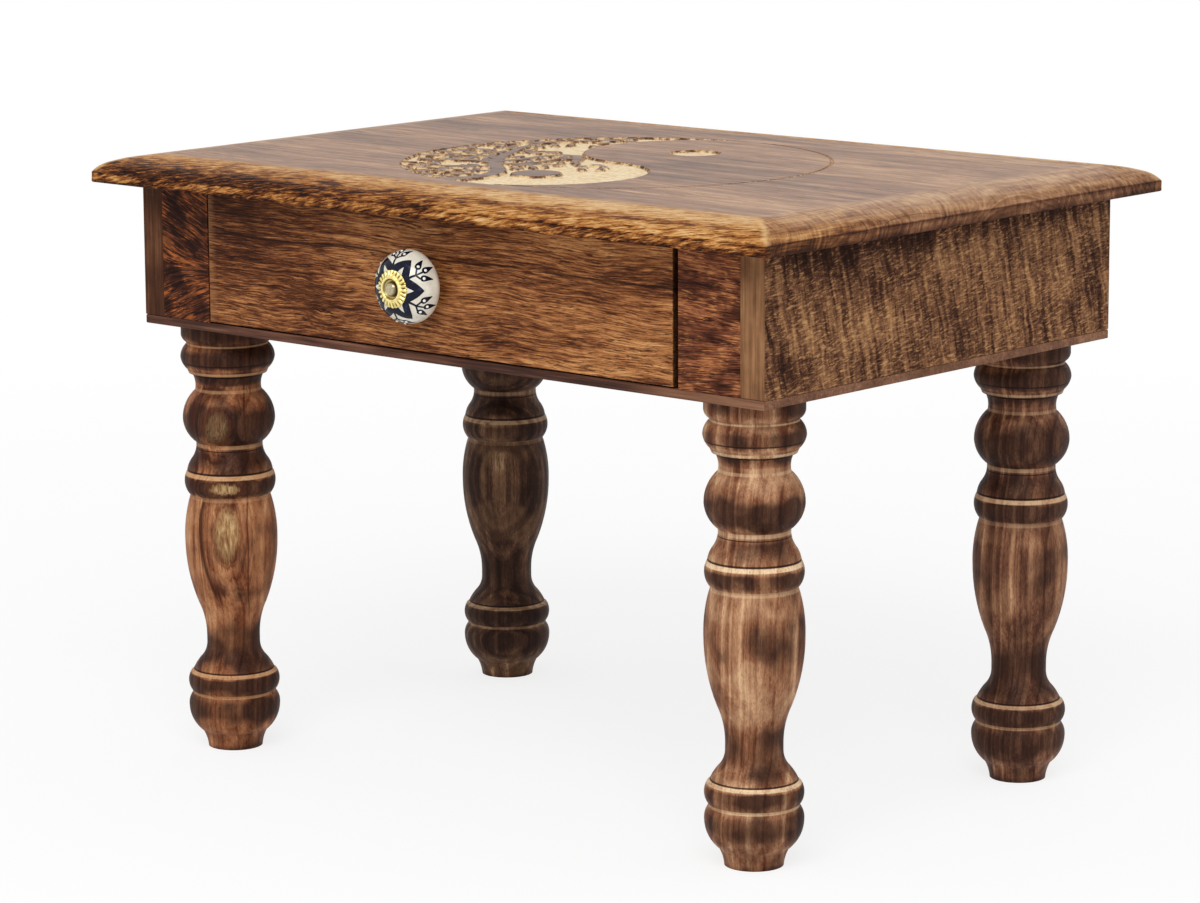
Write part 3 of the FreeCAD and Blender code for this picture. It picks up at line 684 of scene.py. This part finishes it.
glaze, shader, place = new_finish("cream_glaze")
mottle = clouds(place * 0.16, 3)
specks = between(clouds(place * 1.6, 1), 0.7, 0.76)
colour = ramp(mottle, (0.3, 0.7), ((206, 199, 182), (232, 228, 214)))
feed(shader, Base_Color=blend(specks * 0.35, colour, (170, 156, 134)), Roughness=0.1 + mottle * 0.06,
     Specular_IOR_Level=0.3, Subsurface_Weight=0.05, Subsurface_Scale=0.002,
     Normal=mottle.node("Bump", {}, {"Strength": 0.12, "Distance": 0.0008, "Height": mottle}))
quarter_turn = pi / 2
foot_round = [(8 + 12.7 * sin(t), round_reach - 8.5 * cos(t)) for t in np.linspace(0, quarter_turn, 14)]
front_round = [(round_radius + half_across * cos(t), round_reach + half_deep * sin(t))
               for t in np.linspace(0, quarter_turn, 20)]
knob_outline = [(bore, 2), (7.6, 2), (8, 2.4)] + foot_round + front_round[1:] + [(bore, front_seat)]
new_piece("ceramic_knob", lathe(knob_outline, 96, knob_point), glaze, "drawer",
          ("knob_body",), 50)

brass, shader, place = new_finish("pressed_brass")
tarnish = clouds(place * 0.35, 4, 0.65)
x, y, z = parts_of(place - knob_seat)
hollow = x.combine("COSINE", x.combine("ARCTAN2", z, x) * 24)
out = span(x, z)
hollow = between(hollow, 0.1, -0.9) * between(out, 7.2, 8.2) * between(y, -25.7, -26.2)
well = between(out, 6.1, 5.6) * between(y, -25, -26)
colour = ramp(tarnish, (0.32, 0.5, 0.7), ((214, 186, 104), (250, 230, 150), (255, 248, 186)))
colour = blend(hollow * 0.75 + well * 0.55, colour, (92, 68, 34))
feed(shader, Base_Color=colour, Metallic=1, Roughness=0.24 + tarnish * 0.16)
ferrule_outline = [(bore, 0), (9.7, 0), (10, 0.25), (10, 0.8), (9.7, 1), (8.4, 1.7), (8.1, 2), (bore, 2)]
new_piece("brass_ferrule", lathe(ferrule_outline, 72, knob_point), brass, "drawer",
          ("knob_ferrule",), 50)


# The decoration is brushed on by hand under the glaze: a dark blue star of six points around the
# rosette and, in each of its valleys, a sprig of three leaves with raised white dots.
def on_glaze(angle, sweep, lift=0.06):
    """A point just above the glaze: 0 sweep is the front seat's rim and a quarter turn the widest."""
    radius = round_radius + (half_across + lift) * sin(sweep)
    return knob_point(radius, angle, round_reach + (half_deep + lift) * cos(sweep))


def turned(x, y, angle):
    """The two measures of a place along axes that are turned by this angle."""
    c, s = cos(angle), sin(angle)
    return x * c + y * s, y * c - x * s


def moved(spot, along, across, heading):
    """The spot on the glaze that lies so many millimetres along a heading and across it."""
    mean_bend = 11.9
    outwards, sideways = turned(along, across, -heading)
    sweep = spot[1] + outwards / mean_bend
    return spot[0] + sideways / (round_radius + half_across * sin(sweep)), sweep


def brush_stroke(spot, heading, length, half_width, bow=0, steps=10):
    """A painted stroke of the width that a rule gives along it, as rows of three points."""
    vertices, faces = [], []
    for step in range(steps + 1):
        share = step / steps
        half = half_width(share)
        side = bow * sin(pi * share)
        for across in (-half, 0, half):
            vertices.append(on_glaze(*moved(spot, length * share, side + across, heading),
                                     0.06 if across else 0.1))
    for step in range(steps):
        for side in (0, 1):
            first = step * 3 + side
            faces.append((first, first + 1, first + 4, first + 3))
    return vertices, faces


def dot(spot, along, across, heading, radius, height, rings=4, around=12):
    """A small raised drop of white."""
    vertices = []
    for ring in range(rings + 1):
        climb = pi / 2 * ring / rings
        for step in range(around):
            out, sideways = turned(radius * cos(climb), 0, -2 * pi * step / around)
            vertices.append(on_glaze(*moved(spot, along + out, across + sideways, heading),
                                     0.05 + height * sin(climb)))
    return vertices, ring_faces(rings + 1, around)


def gather(groups):
    """Joins several lists of points and faces into one."""
    vertices, faces = [], []
    for group_vertices, group_faces in groups:
        start = len(vertices)
        vertices += group_vertices
        faces += [tuple(start + v for v in face) for face in group_faces]
    return vertices, faces


cobalt, shader, place = new_finish("cobalt_paint")
wash = clouds(place * 0.3, 3)
feed(shader, Base_Color=ramp(wash, (0.3, 0.58, 0.74), ((8, 9, 20), (14, 18, 38), (44, 54, 88))),
     Roughness=0.1 + wash * 0.08, Specular_IOR_Level=0.18)
enamel, shader, place = new_finish("white_enamel")
feed(shader, Base_Color=ramp(clouds(place * 0.8), (0.3, 0.7), ((232, 228, 218), (250, 248, 242))),
     Roughness=0.12 + clouds(place * 0.5) * 0.05)

star_points, star_steps, star_rows = 6, 24, 6
star_around = star_points * star_steps
vertices = []
for row in range(star_rows + 1):
    for step in range(star_around):
        point_share = abs(1 - 2 * (step % star_steps) / star_steps)
        angle = 2 * pi * step / star_around
        sway = 0.03 * noise.noise((cos(angle) * 2, sin(angle) * 2, 0.3))
        outer = radians(17 + 37 * point_share ** 1.15) + sway
        inner = radians(2 + 23 * max(0, point_share * 3.3 - 2.3)) + sway / 2
        vertices.append(on_glaze(angle, inner + (outer - inner) * row / star_rows))
groups, drops = [(vertices, ring_faces(star_rows + 1, star_around, -1))], []
for valley in range(star_points):
    angle = radians(30 + 60 * valley)
    groups.append(brush_stroke((angle, radians(14)), 0, 5.4, lambda s: 0.75 - 0.15 * s, 0.3))
    fork = (angle, radians(39))
    for heading, stalk, length in ((1, 3.4, 7.2), (0.1, 4.1, 7.4), (-0.95, 3.1, 7.2)):
        groups.append(brush_stroke(fork, heading, stalk + 0.4, lambda s: 0.5))
        leaf_foot = moved(fork, stalk, 0, heading)
        leaf_heading = heading * 0.45 + 0.15
        groups.append(brush_stroke(leaf_foot, leaf_heading, length, lambda s: 0.25 + 1.75 * sin(
            pi * (s ** 0.62)) * (1 - 0.45 * s), 0.25))
        drops.append(dot(leaf_foot, length * 0.3, 0.1, leaf_heading, 0.85, 0.5))
new_piece("painted_star_and_sprigs", gather(groups), cobalt, "drawer")
new_piece("raised_dots", gather(drops), enamel, "drawer")


# The rosette is stamped from thin brass: fine flutes spread from a smooth ring to a notched rim,
# and a well in its middle holds the screw's domed head.
rosette_rows = [
    (bore, 0.9), (5, 0.9), (5.4, 1.2), (5.7, 2.2), (6.2, 2.65), (6.9, 2.6), (7.2, 2.3), (7.7, 2), (8.4, 1.85),
    (9.2, 1.65), (10, 1.35), (10.5, 1.05), (10.8, 0.6), (10.7, 0.2), (10, 0.05), (bore, 0)]
front_rows, flutes, flute_steps = 13, 24, 12
around = flutes * flute_steps
vertices = []
for row, (radius, reach) in enumerate(rosette_rows):
    depth = 0.95 * max(0, min(1, (radius - 7.1) / 1.2)) if row < front_rows else 0
    for step in range(around):
        valley = 1 - abs(cos(pi * step / flute_steps)) ** 0.8
        notch = 1 - 0.07 * valley * max(0, min(1, (radius - 8.8) / 1.5))
        vertices.append(knob_point(radius * notch, 2 * pi * step / around,
                                   front_seat + max(reach - depth * valley, 0)))
new_piece("brass_rosette", (vertices, ring_faces(len(rosette_rows), around, -1)), brass, "drawer",
          ("knob_rosette",), 55)

steel_brass, shader, place = new_finish("screw_plate")
scuffs = clouds(place * 1.4, 4, 0.7)
x, y, z = parts_of(place - knob_seat)
# Towards the dome's foot the head is painted darker, partly as dirt and partly as a painted dark reflection.
grime_and_painted_reflection = between(span(x, z), 2.4, 4)
colour = ramp(scuffs, (0.3, 0.7), ((150, 136, 104), (216, 204, 172)))
feed(shader, Base_Color=blend(grime_and_painted_reflection * 0.8, colour, (70, 54, 32)), Metallic=1,
     Roughness=0.16 + scuffs * 0.14)
dome = [(4.1 * cos(t), 26.7 + 2.5 * sin(t)) for t in np.linspace(0, quarter_turn * 0.96, 10)]
new_piece("knob_screw_head", lathe([(2, -22.2), (2, 26.7), (4, 26.7)] + dome, 48, knob_point),
          steel_brass, "drawer", ("knob_screw",), 50)


# The table top is a solid board. Its edge is rounded over and stands on a small square fillet, the
# corners meet like mitres, and a roundel is carved into its face down to pale raw wood.
top_half_x, top_half_y, top_level, top_under = 254, 177.8, 355.6, 339.7
fillet_height, round_width = 6, 29
round_height = top_level - top_under - fillet_height
round_shares = [(0, 0), (0.09, 0.31), (0.26, 0.6), (0.56, 0.86), (1, 1)]
roundel_x, roundel_y, roundel_turn, roundel_radius = 7, -10, radians(-3), 123.5
lower_eye, upper_eye = (3.9, -69, 14.5), (3.9, 61, 14.5)
carved_depth, rim_depth = 1.5, 0.8
board_corners = ((-1, -1), (1, -1), (1, 1), (-1, 1))

round_points = [(inwards * round_width, top_under + fillet_height + up * round_height)
                for inwards, up in round_shares]
edge_rows = [(0.9, top_under), (0.25, top_under + 0.3), (0, top_under + 0.9), (0, top_under + 3),
             (0, round_points[0][1] - 0.8), (0, round_points[0][1])]
edge_rows += arc(*round_points[:3], 8) + arc(*round_points[2:], 10)


def rim_point(share, inset, level, row):
    """A point on the board's outline, pulled in a little where the edge is worn."""
    half_x, half_y = top_half_x - inset, top_half_y - inset
    side, run = int(share * 4) % 4, share * 4 % 1
    a, b = board_corners[side], board_corners[(side + 1) % 4]
    x = (a[0] + (b[0] - a[0]) * run) * half_x
    y = (a[1] + (b[1] - a[1]) * run) * half_y
    wear = (noise.noise((x * 0.02, y * 0.02, level * 0.15)) - 1) * 0.22
    wear += (noise.noise((x * 0.09, y * 0.09, level * 0.3 + 9)) - 1) * 0.08
    if row == len(edge_rows) - 1:
        wear = 0
    return (x * (1 + wear / half_x), y * (1 + wear / half_y), level)


around = 4 * 72
vertices = [rim_point(step / around, inset, level, row)
            for row, (inset, level) in enumerate(edge_rows) for step in range(around)]
faces = ring_faces(len(edge_rows), around) + [tuple(reversed(range(around)))]
flat_rim = [(len(edge_rows) - 1) * around + step for step in range(around)]

# The carving's height is worked out on a fine grid from how far each point lies inside the sunk
# ground, so that every cut has the same steep wall.
cell = 0.71
steps = 352
axis = (np.arange(steps + 1) - steps / 2) * cell
across, up = np.meshgrid(axis, axis)
turned_u, turned_v = turned(across, up, roundel_turn)


def disc(x, y, radius):
    """How far inside a disc each point lies."""
    return radius - np.hypot(turned_u - x, turned_v - y)


half_radius, ridge = roundel_radius / 2, 1
upper_half = np.minimum(-turned_u, -disc(0, half_radius, half_radius + ridge))
comma = np.maximum(np.minimum(disc(0, 0, roundel_radius), upper_half),
                   disc(0, -half_radius - ridge / 2, half_radius - ridge / 2))
standing = np.full_like(comma, -99)


def limb(start, end, start_radius, end_radius):
    """Leaves a tapering branch standing."""
    length = dist(start, end)
    dx, dy = (end[0] - start[0]) / length, (end[1] - start[1]) / length
    u, v = turned_u - start[0], turned_v - start[1]
    near = np.abs(u * dx + v * dy - length / 2) < length
    u, v = u[near], v[near]
    run = np.clip((u * dx + v * dy) / length, 0, 1)
    inside = (start_radius + (end_radius - start_radius) * run
              - np.hypot(u - run * length * dx, v - run * length * dy))
    standing[near] = np.maximum(standing[near], inside)


leaves = []
bare_spots = ((-66, -57, 13), (-59, -8, 9), (-26, -14, 6), (-42, -88, 8), (-72, 32, 16), (-57, 24, 12),
              (-42, 12, 9), (-42, 112, 40), (-90, -30, 7), (-104, 4, 7), (-84, -90, 7))


def leaf(x, y, heading, length, width, gap):
    """Leaves a pointed leaf standing, unless it would touch another or cover a spot kept bare."""
    if any(dist((x, y), spot[:2]) < spot[2] for spot in bare_spots):
        return
    for other_x, other_y, other_heading, other_length, other_width in leaves:
        dx, dy = x - other_x, y - other_y
        if abs(dx) < 18 and abs(dy) < 18:
            p, q = turned(dx, dy, other_heading)
            long_room, side_room = (other_length + length * 0.6) / 2 + gap, (other_width + width) / 2 + gap
            if (p / long_room) ** 2 + (q / side_room) ** 2 < 1:
                return
    leaves.append((x, y, heading, length, width))
    near = np.hypot(turned_u - x, turned_v - y) < length / 2 + 1
    p, q = turned(turned_u[near] - x, turned_v[near] - y, heading)
    bend = (length ** 2 + width ** 2) / 4 / width
    inside = bend - np.hypot(p, np.abs(q) + bend - width / 2)
    standing[near] = np.maximum(standing[near], inside)


chance = random.Random(11)


def grow(x, y, heading, reach, radius, order):
    """A bowed limb with leaves on both sides and smaller limbs of its own."""
    pieces = max(3, int(reach / 7))
    bow = chance.uniform(-0.1, 0.1)
    for piece in range(pieces):
        thick, thin = (radius * (1 - 0.55 * (piece + extra) / pieces) for extra in (0, 1))
        next_x, next_y = x + reach / pieces * cos(heading), y + reach / pieces * sin(heading)
        limb((x, y), (next_x, next_y), thick, thin)
        x, y, heading = next_x, next_y, heading + bow
        for side in (-1, 1):
            if order and piece % 2 and chance.random() < 0.5:
                grow(x, y, heading + side * chance.uniform(0.6, 1), reach * chance.uniform(0.42, 0.6),
                     thin * 0.75, order - 1)
            leaf_heading = heading + side * chance.uniform(0.5, 0.9)
            length = chance.uniform(11, 15)
            out = length / 2 + thin
            leaf(x + out * cos(leaf_heading), y + out * sin(leaf_heading), leaf_heading, length,
                 length * chance.uniform(0.38, 0.48), 3)
    leaf(x + 5 * cos(heading), y + 5 * sin(heading), heading, 11, 5, 0.3)


def sweep(points, radii):
    """Leaves a bent trunk or bough standing."""
    for start, end, start_radius, end_radius in zip(points, points[1:], radii, radii[1:]):
        limb(start, end, start_radius, end_radius)


trunk = [(-14, -124), (-10, -106), (-11, -92), (-18, -78), (-30, -66), (-44, -55), (-56, -42), (-68, -26),
         (-80, -6), (-93, 16), (-99, 40), (-90, 62)]
sweep(trunk, [6.4, 5.4, 5, 4.8, 4.6, 4.6, 4.4, 3.8, 3.2, 2.6, 1.9, 1.3])
sweep([(-52, -46), (-50, -30), (-51, -12), (-47, 3), (-37, 5), (-28, -3), (-19, -15), (-8, -24)],
      [3.6, 3.4, 3.3, 3.3, 3.2, 3, 2.6, 1.5])
sweep([(-44, -54), (-35, -42), (-32, -28), (-36, -14)], [3.2, 2.8, 2.2, 1.4])
sweep([(-35, -42), (-22, -36), (-13, -30)], [2.4, 2, 1.2])
for x, y, degrees, reach, radius in (
        (-50, -49, 176, 46, 2.8), (-62, -34, 168, 54, 2.8), (-74, -16, 165, 44, 2.4), (-86, 4, 160, 34, 2),
        (-96, 28, 150, 18, 1.6), (-99, 40, 100, 22, 1.4), (-90, 62, 60, 26, 1.4), (-80, -6, 60, 20, 1.6),
        (-36, -62, 205, 46, 2.6), (-22, -76, 210, 40, 2.2), (-12, -96, 175, 40, 2.2),
        (-12, -109, 192, 28, 1.8), (-36, -14, 80, 10, 1.2), (-22, -36, 250, 12, 1.2)):
    grow(x, y, radians(degrees), reach, radius, 1)
for x, y, degrees in ((2, -18, 25), (11, -22, -20), (17, -31, -65), (9, -38, -30), (1, -29, -75)):
    leaf(x, y, radians(degrees), 9.5, 4.8, 0.2)
for _ in range(12000):
    x, y = chance.uniform(-123, -4), chance.uniform(-123, 116)
    length = chance.uniform(9, 14)
    width = length * chance.uniform(0.38, 0.5)
    column, line = (int(round(v / cell + steps / 2)) for v in turned(x, y, -roundel_turn))
    heading = atan2(y + 60, x + 10) + chance.uniform(-0.8, 0.8)
    crown_side = -22 if y < -60 else -15 if y < -10 else -21 if y < 10 else 0
    strip = 3 + 18 * max(0, min(1, (46 - y) / 8, (y - 4) / 8))
    s_curve_gap = dist((x, y), (0, half_radius)) - half_radius
    if (x < crown_side and comma[line, column] > 2.2 and s_curve_gap > strip
            and standing[line, column] < -width / 2 - 2.4):
        leaf(x, y, heading, length, width, 4.4 if x < -50 else 2.8)

standing = np.maximum(standing, disc(*lower_eye))
rim_distance = disc(0, 0, roundel_radius)
outline = np.minimum(np.minimum(1.2 - rim_distance, rim_distance), turned_u)
sunk = np.maximum(np.minimum(comma, -standing), disc(*upper_eye))
level = top_level - np.maximum(carved_depth * np.clip(sunk / cell + 0.5, 0, 1),
                               rim_depth * np.clip(outline / cell + 0.5, 0, 1))
grid_index = {}


def grid_vertex(line, column):
    """The number of a grid point, which is added to the mesh the first time."""
    if (line, column) not in grid_index:
        grid_index[line, column] = len(vertices)
        vertices.append((roundel_x + across[line, column], roundel_y + up[line, column], level[line, column]))
    return grid_index[line, column]


def fill_block(line, column, size):
    """One face for a flat block of the grid, or else its four quarters."""
    block = level[line:line + size + 1, column:column + size + 1]
    if size > 1 and block.max() - block.min() > 1e-9:
        half = size // 2
        for down, right in ((0, 0), (0, half), (half, 0), (half, half)):
            fill_block(line + down, column + right, half)
        return
    faces.append((grid_vertex(line, column), grid_vertex(line, column + size),
                  grid_vertex(line + size, column + size), grid_vertex(line + size, column)))


block_size = 8
for line in range(0, steps, block_size):
    for column in range(0, steps, block_size):
        fill_block(line, column, block_size)
patch_start = len(vertices)
vertices += [(roundel_x + s * axis[-1], roundel_y + t * axis[-1], top_level) for s, t in board_corners]
quarter = around // 4
for side in range(4):
    rim = [flat_rim[(side * quarter + step) % around] for step in range(quarter + 1)]
    faces.append(tuple(rim) + (patch_start + (side + 1) % 4, patch_start + side))

top_wood, shader, place = new_finish("table_top_wood")
x, y, z = parts_of(place)
grain = along_grain(place, "X")
from_end, from_front = top_half_x - size_of(x), top_half_y - size_of(y)
inwards = lesser(from_end, from_front)
mitre = from_front - from_end
up_edge = (z - top_under) + inwards * 0.8
wander = clouds((x * 0.008, y * 0.02, 2), 3) - 0.5
drifted = vector_of(x, y + wander * 26 + x * 0.03, z)
streaks = strands(drifted, 30, 1.1, 0, 0.68)
wide = strands(drifted, 110, 6, 5)
broad = clouds(drifted * (0.006, 0.016, 0.03) + (3, 1, 4), 4, 0.6, 0.3)
bands = year_bands(grain, (64, 296), (-0.1, 0), 7, 14)
tone = layered((broad, 0.6), (wide, 0.42), (streaks, 0.78), (bands, 0.25)) + between(x, 40, 230) * 0.05
colour = ramp(tone, (0.22, 0.38, 0.5, 0.6, 0.76), (
    (62, 40, 30), (98, 67, 48), (136, 98, 72), (166, 124, 90), (206, 164, 122)))
dents = pores(drifted, 12, 1)
colour = blend(dents * 0.35, colour, (74, 50, 40))

# Along the front and back the edge is burnt in strokes below a pale honey shoulder
stroke_place = vector_of((x * 0.97 + up_edge * 0.24) * 0.1, y * 0.05, (up_edge * 0.97 - x * 0.2) * 0.74)
strokes = clouds(stroke_place, 5, 0.74, 0.4)
blotches = clouds((x * 0.035, y * 0.03, up_edge * 0.13), 3, 0.6) - 0.5
height_share = up_edge / 40
burnt_end = ramp(height_share, (0, 0.03, 0.07, 0.13, 0.165, 0.3, 0.44, 0.56, 0.72, 1), (
    0.06, 0.24, 0.38, 0.36, 0.2, 0.2, 0.29, 0.38, 0.5, 0.58))
honey_end = ramp(height_share, (0, 0.03, 0.1, 0.15, 0.2, 0.34, 0.46, 0.6, 0.8, 1), (
    0.1, 0.32, 0.44, 0.3, 0.52, 0.5, 0.4, 0.6, 0.7, 0.62))
rightness = between(x + blotches * 120, -150, 130)
edge_tone = burnt_end * (1 - rightness) + honey_end * rightness
edge_tone = edge_tone + (strokes - 0.5) * 1.75 + blotches * 0.6 + (streaks - 0.5) * 0.25
edge_colour = ramp(edge_tone, (0.04, 0.2, 0.34, 0.46, 0.6, 0.8), (
    (16, 6, 3), (48, 22, 11), (108, 60, 28), (160, 103, 50), (192, 142, 82), (212, 178, 132)))
front_edge = between(from_front + blotches * 10, 38, 25)
colour = blend(front_edge, colour, edge_colour)

# The ends show end grain: rings around the tree's heart and fine strokes that lean down the edge
heart_y, heart_z, knot_y = 40, 290, -52
rings = waves(span(y - heart_y + (clouds(place * 0.03, 3) - 0.5) * 34, z - heart_z) * 0.3, 4, 0.65)
slanted = vector_of(x * 0.03, (y * 0.92 - up_edge * 0.4) * 0.5, (up_edge * 0.92 + y * 0.4) * 0.08)
end_strokes = clouds(slanted, 4, 0.65)
end_tone = ramp(height_share, (0, 0.03, 0.1, 0.14, 0.16, 0.19, 0.6, 1), (
    0.12, 0.26, 0.35, 0.3, 0.2, 0.5, 0.6, 0.6))
near_corner = between(y + blotches * 80, -40, -150)
end_tone = (end_tone + (end_strokes - 0.5) * 0.42 + (rings - 0.5) * 0.42 + blotches * 0.7
            + (strokes - 0.5) * near_corner * 0.8 - near_corner * 0.06)
end_places = (0.14, 0.34, 0.5, 0.64, 0.84)
brown_end = ramp(end_tone, end_places, (
    (46, 25, 16), (98, 62, 42), (144, 103, 73), (176, 136, 100), (204, 170, 130)))
golden_end = ramp(end_tone, end_places, (
    (52, 28, 15), (108, 66, 38), (156, 108, 66), (188, 144, 92), (214, 176, 124)))
end_colour = blend(near_corner, brown_end, golden_end)
end_edge = between(from_end + blotches * 10, 36, 24) * between(mitre + blotches * 10, -2.5, 2.5)
colour = blend(end_edge, colour, end_colour)
# A dark ring line shows on the right end, and a highlight is painted along the mitred corner's ridge
knot_line = span(y - knot_y, (up_edge - 2) * 3) + (clouds(place * 0.06, 2) - 0.5) * 10
knot_line = within(knot_line, 31, 32.2, 0.5) * between(x, 225, 230)
colour = blend(knot_line * between(up_edge, 5.5, 7) * 0.75, colour, (56, 46, 44))
painted_arris_highlight = within(mitre + blotches * 8, -2, 2, 2) * between(inwards, 32, 18) * between(up_edge, 6, 9)
colour = blend(painted_arris_highlight * (strokes * 0.8 + 0.2), colour, (218, 178, 122))

# Inside the roundel the router has cut down to pale raw wood and scorched the walls, and smoke has
# dulled the tops of the leaves
in_roundel = between(span(x - roundel_x, y - roundel_y), roundel_radius + 1.2, roundel_radius + 0.8)
sunk_share = between(z, top_level - 0.35, top_level - 0.95) * in_roundel
past_upper_lobe = span(x - roundel_x - 3.2, y - roundel_y - 61.7) - half_radius
leaf_tops = in_roundel * (1 - sunk_share) * between(past_upper_lobe, -0.75, 1.25) * between(x, 30, 26)
colour = blend(leaf_tops * 0.45, colour, (98, 82, 74))
upward = parts_of(source(top_wood.node_tree, "NewGeometry", "Normal"))[2]
softer = between(x, 0, 14) * between(y, 70, 90) * 0.5
cut_wall = between(upward, 0.92, 0.6) * in_roundel * (1 - softer)
raw_tone = layered((strands(grain, 16, 1.2, 9), 0.9), (clouds(place * 0.35, 3), 0.7))
raw = ramp(raw_tone, (0.24, 0.42, 0.54, 0.76), (
    (190, 156, 112), (222, 194, 150), (238, 216, 176), (250, 234, 200)))
colour = blend(sunk_share, colour, raw)
scorched_wall = ramp(clouds(place * 0.16, 4, 0.7), (0.38, 0.47, 0.55), (
    (56, 27, 16), (136, 94, 62), (216, 186, 144)))
colour = blend(cut_wall * 0.92, colour, scorched_wall)
wax(shader, colour, streaks, dents * (1 - sunk_share), 0.4, 0.2)
shine = between(upward, 0.88, 0.985) * (1 - sunk_share) * (1 - front_edge * 0.9) * 0.36
feed(shader, Coat_Weight=shine, Coat_Roughness=0.36)
new_piece("carved_table_top", (vertices, faces), top_wood, "table", ("table_top",), 24)
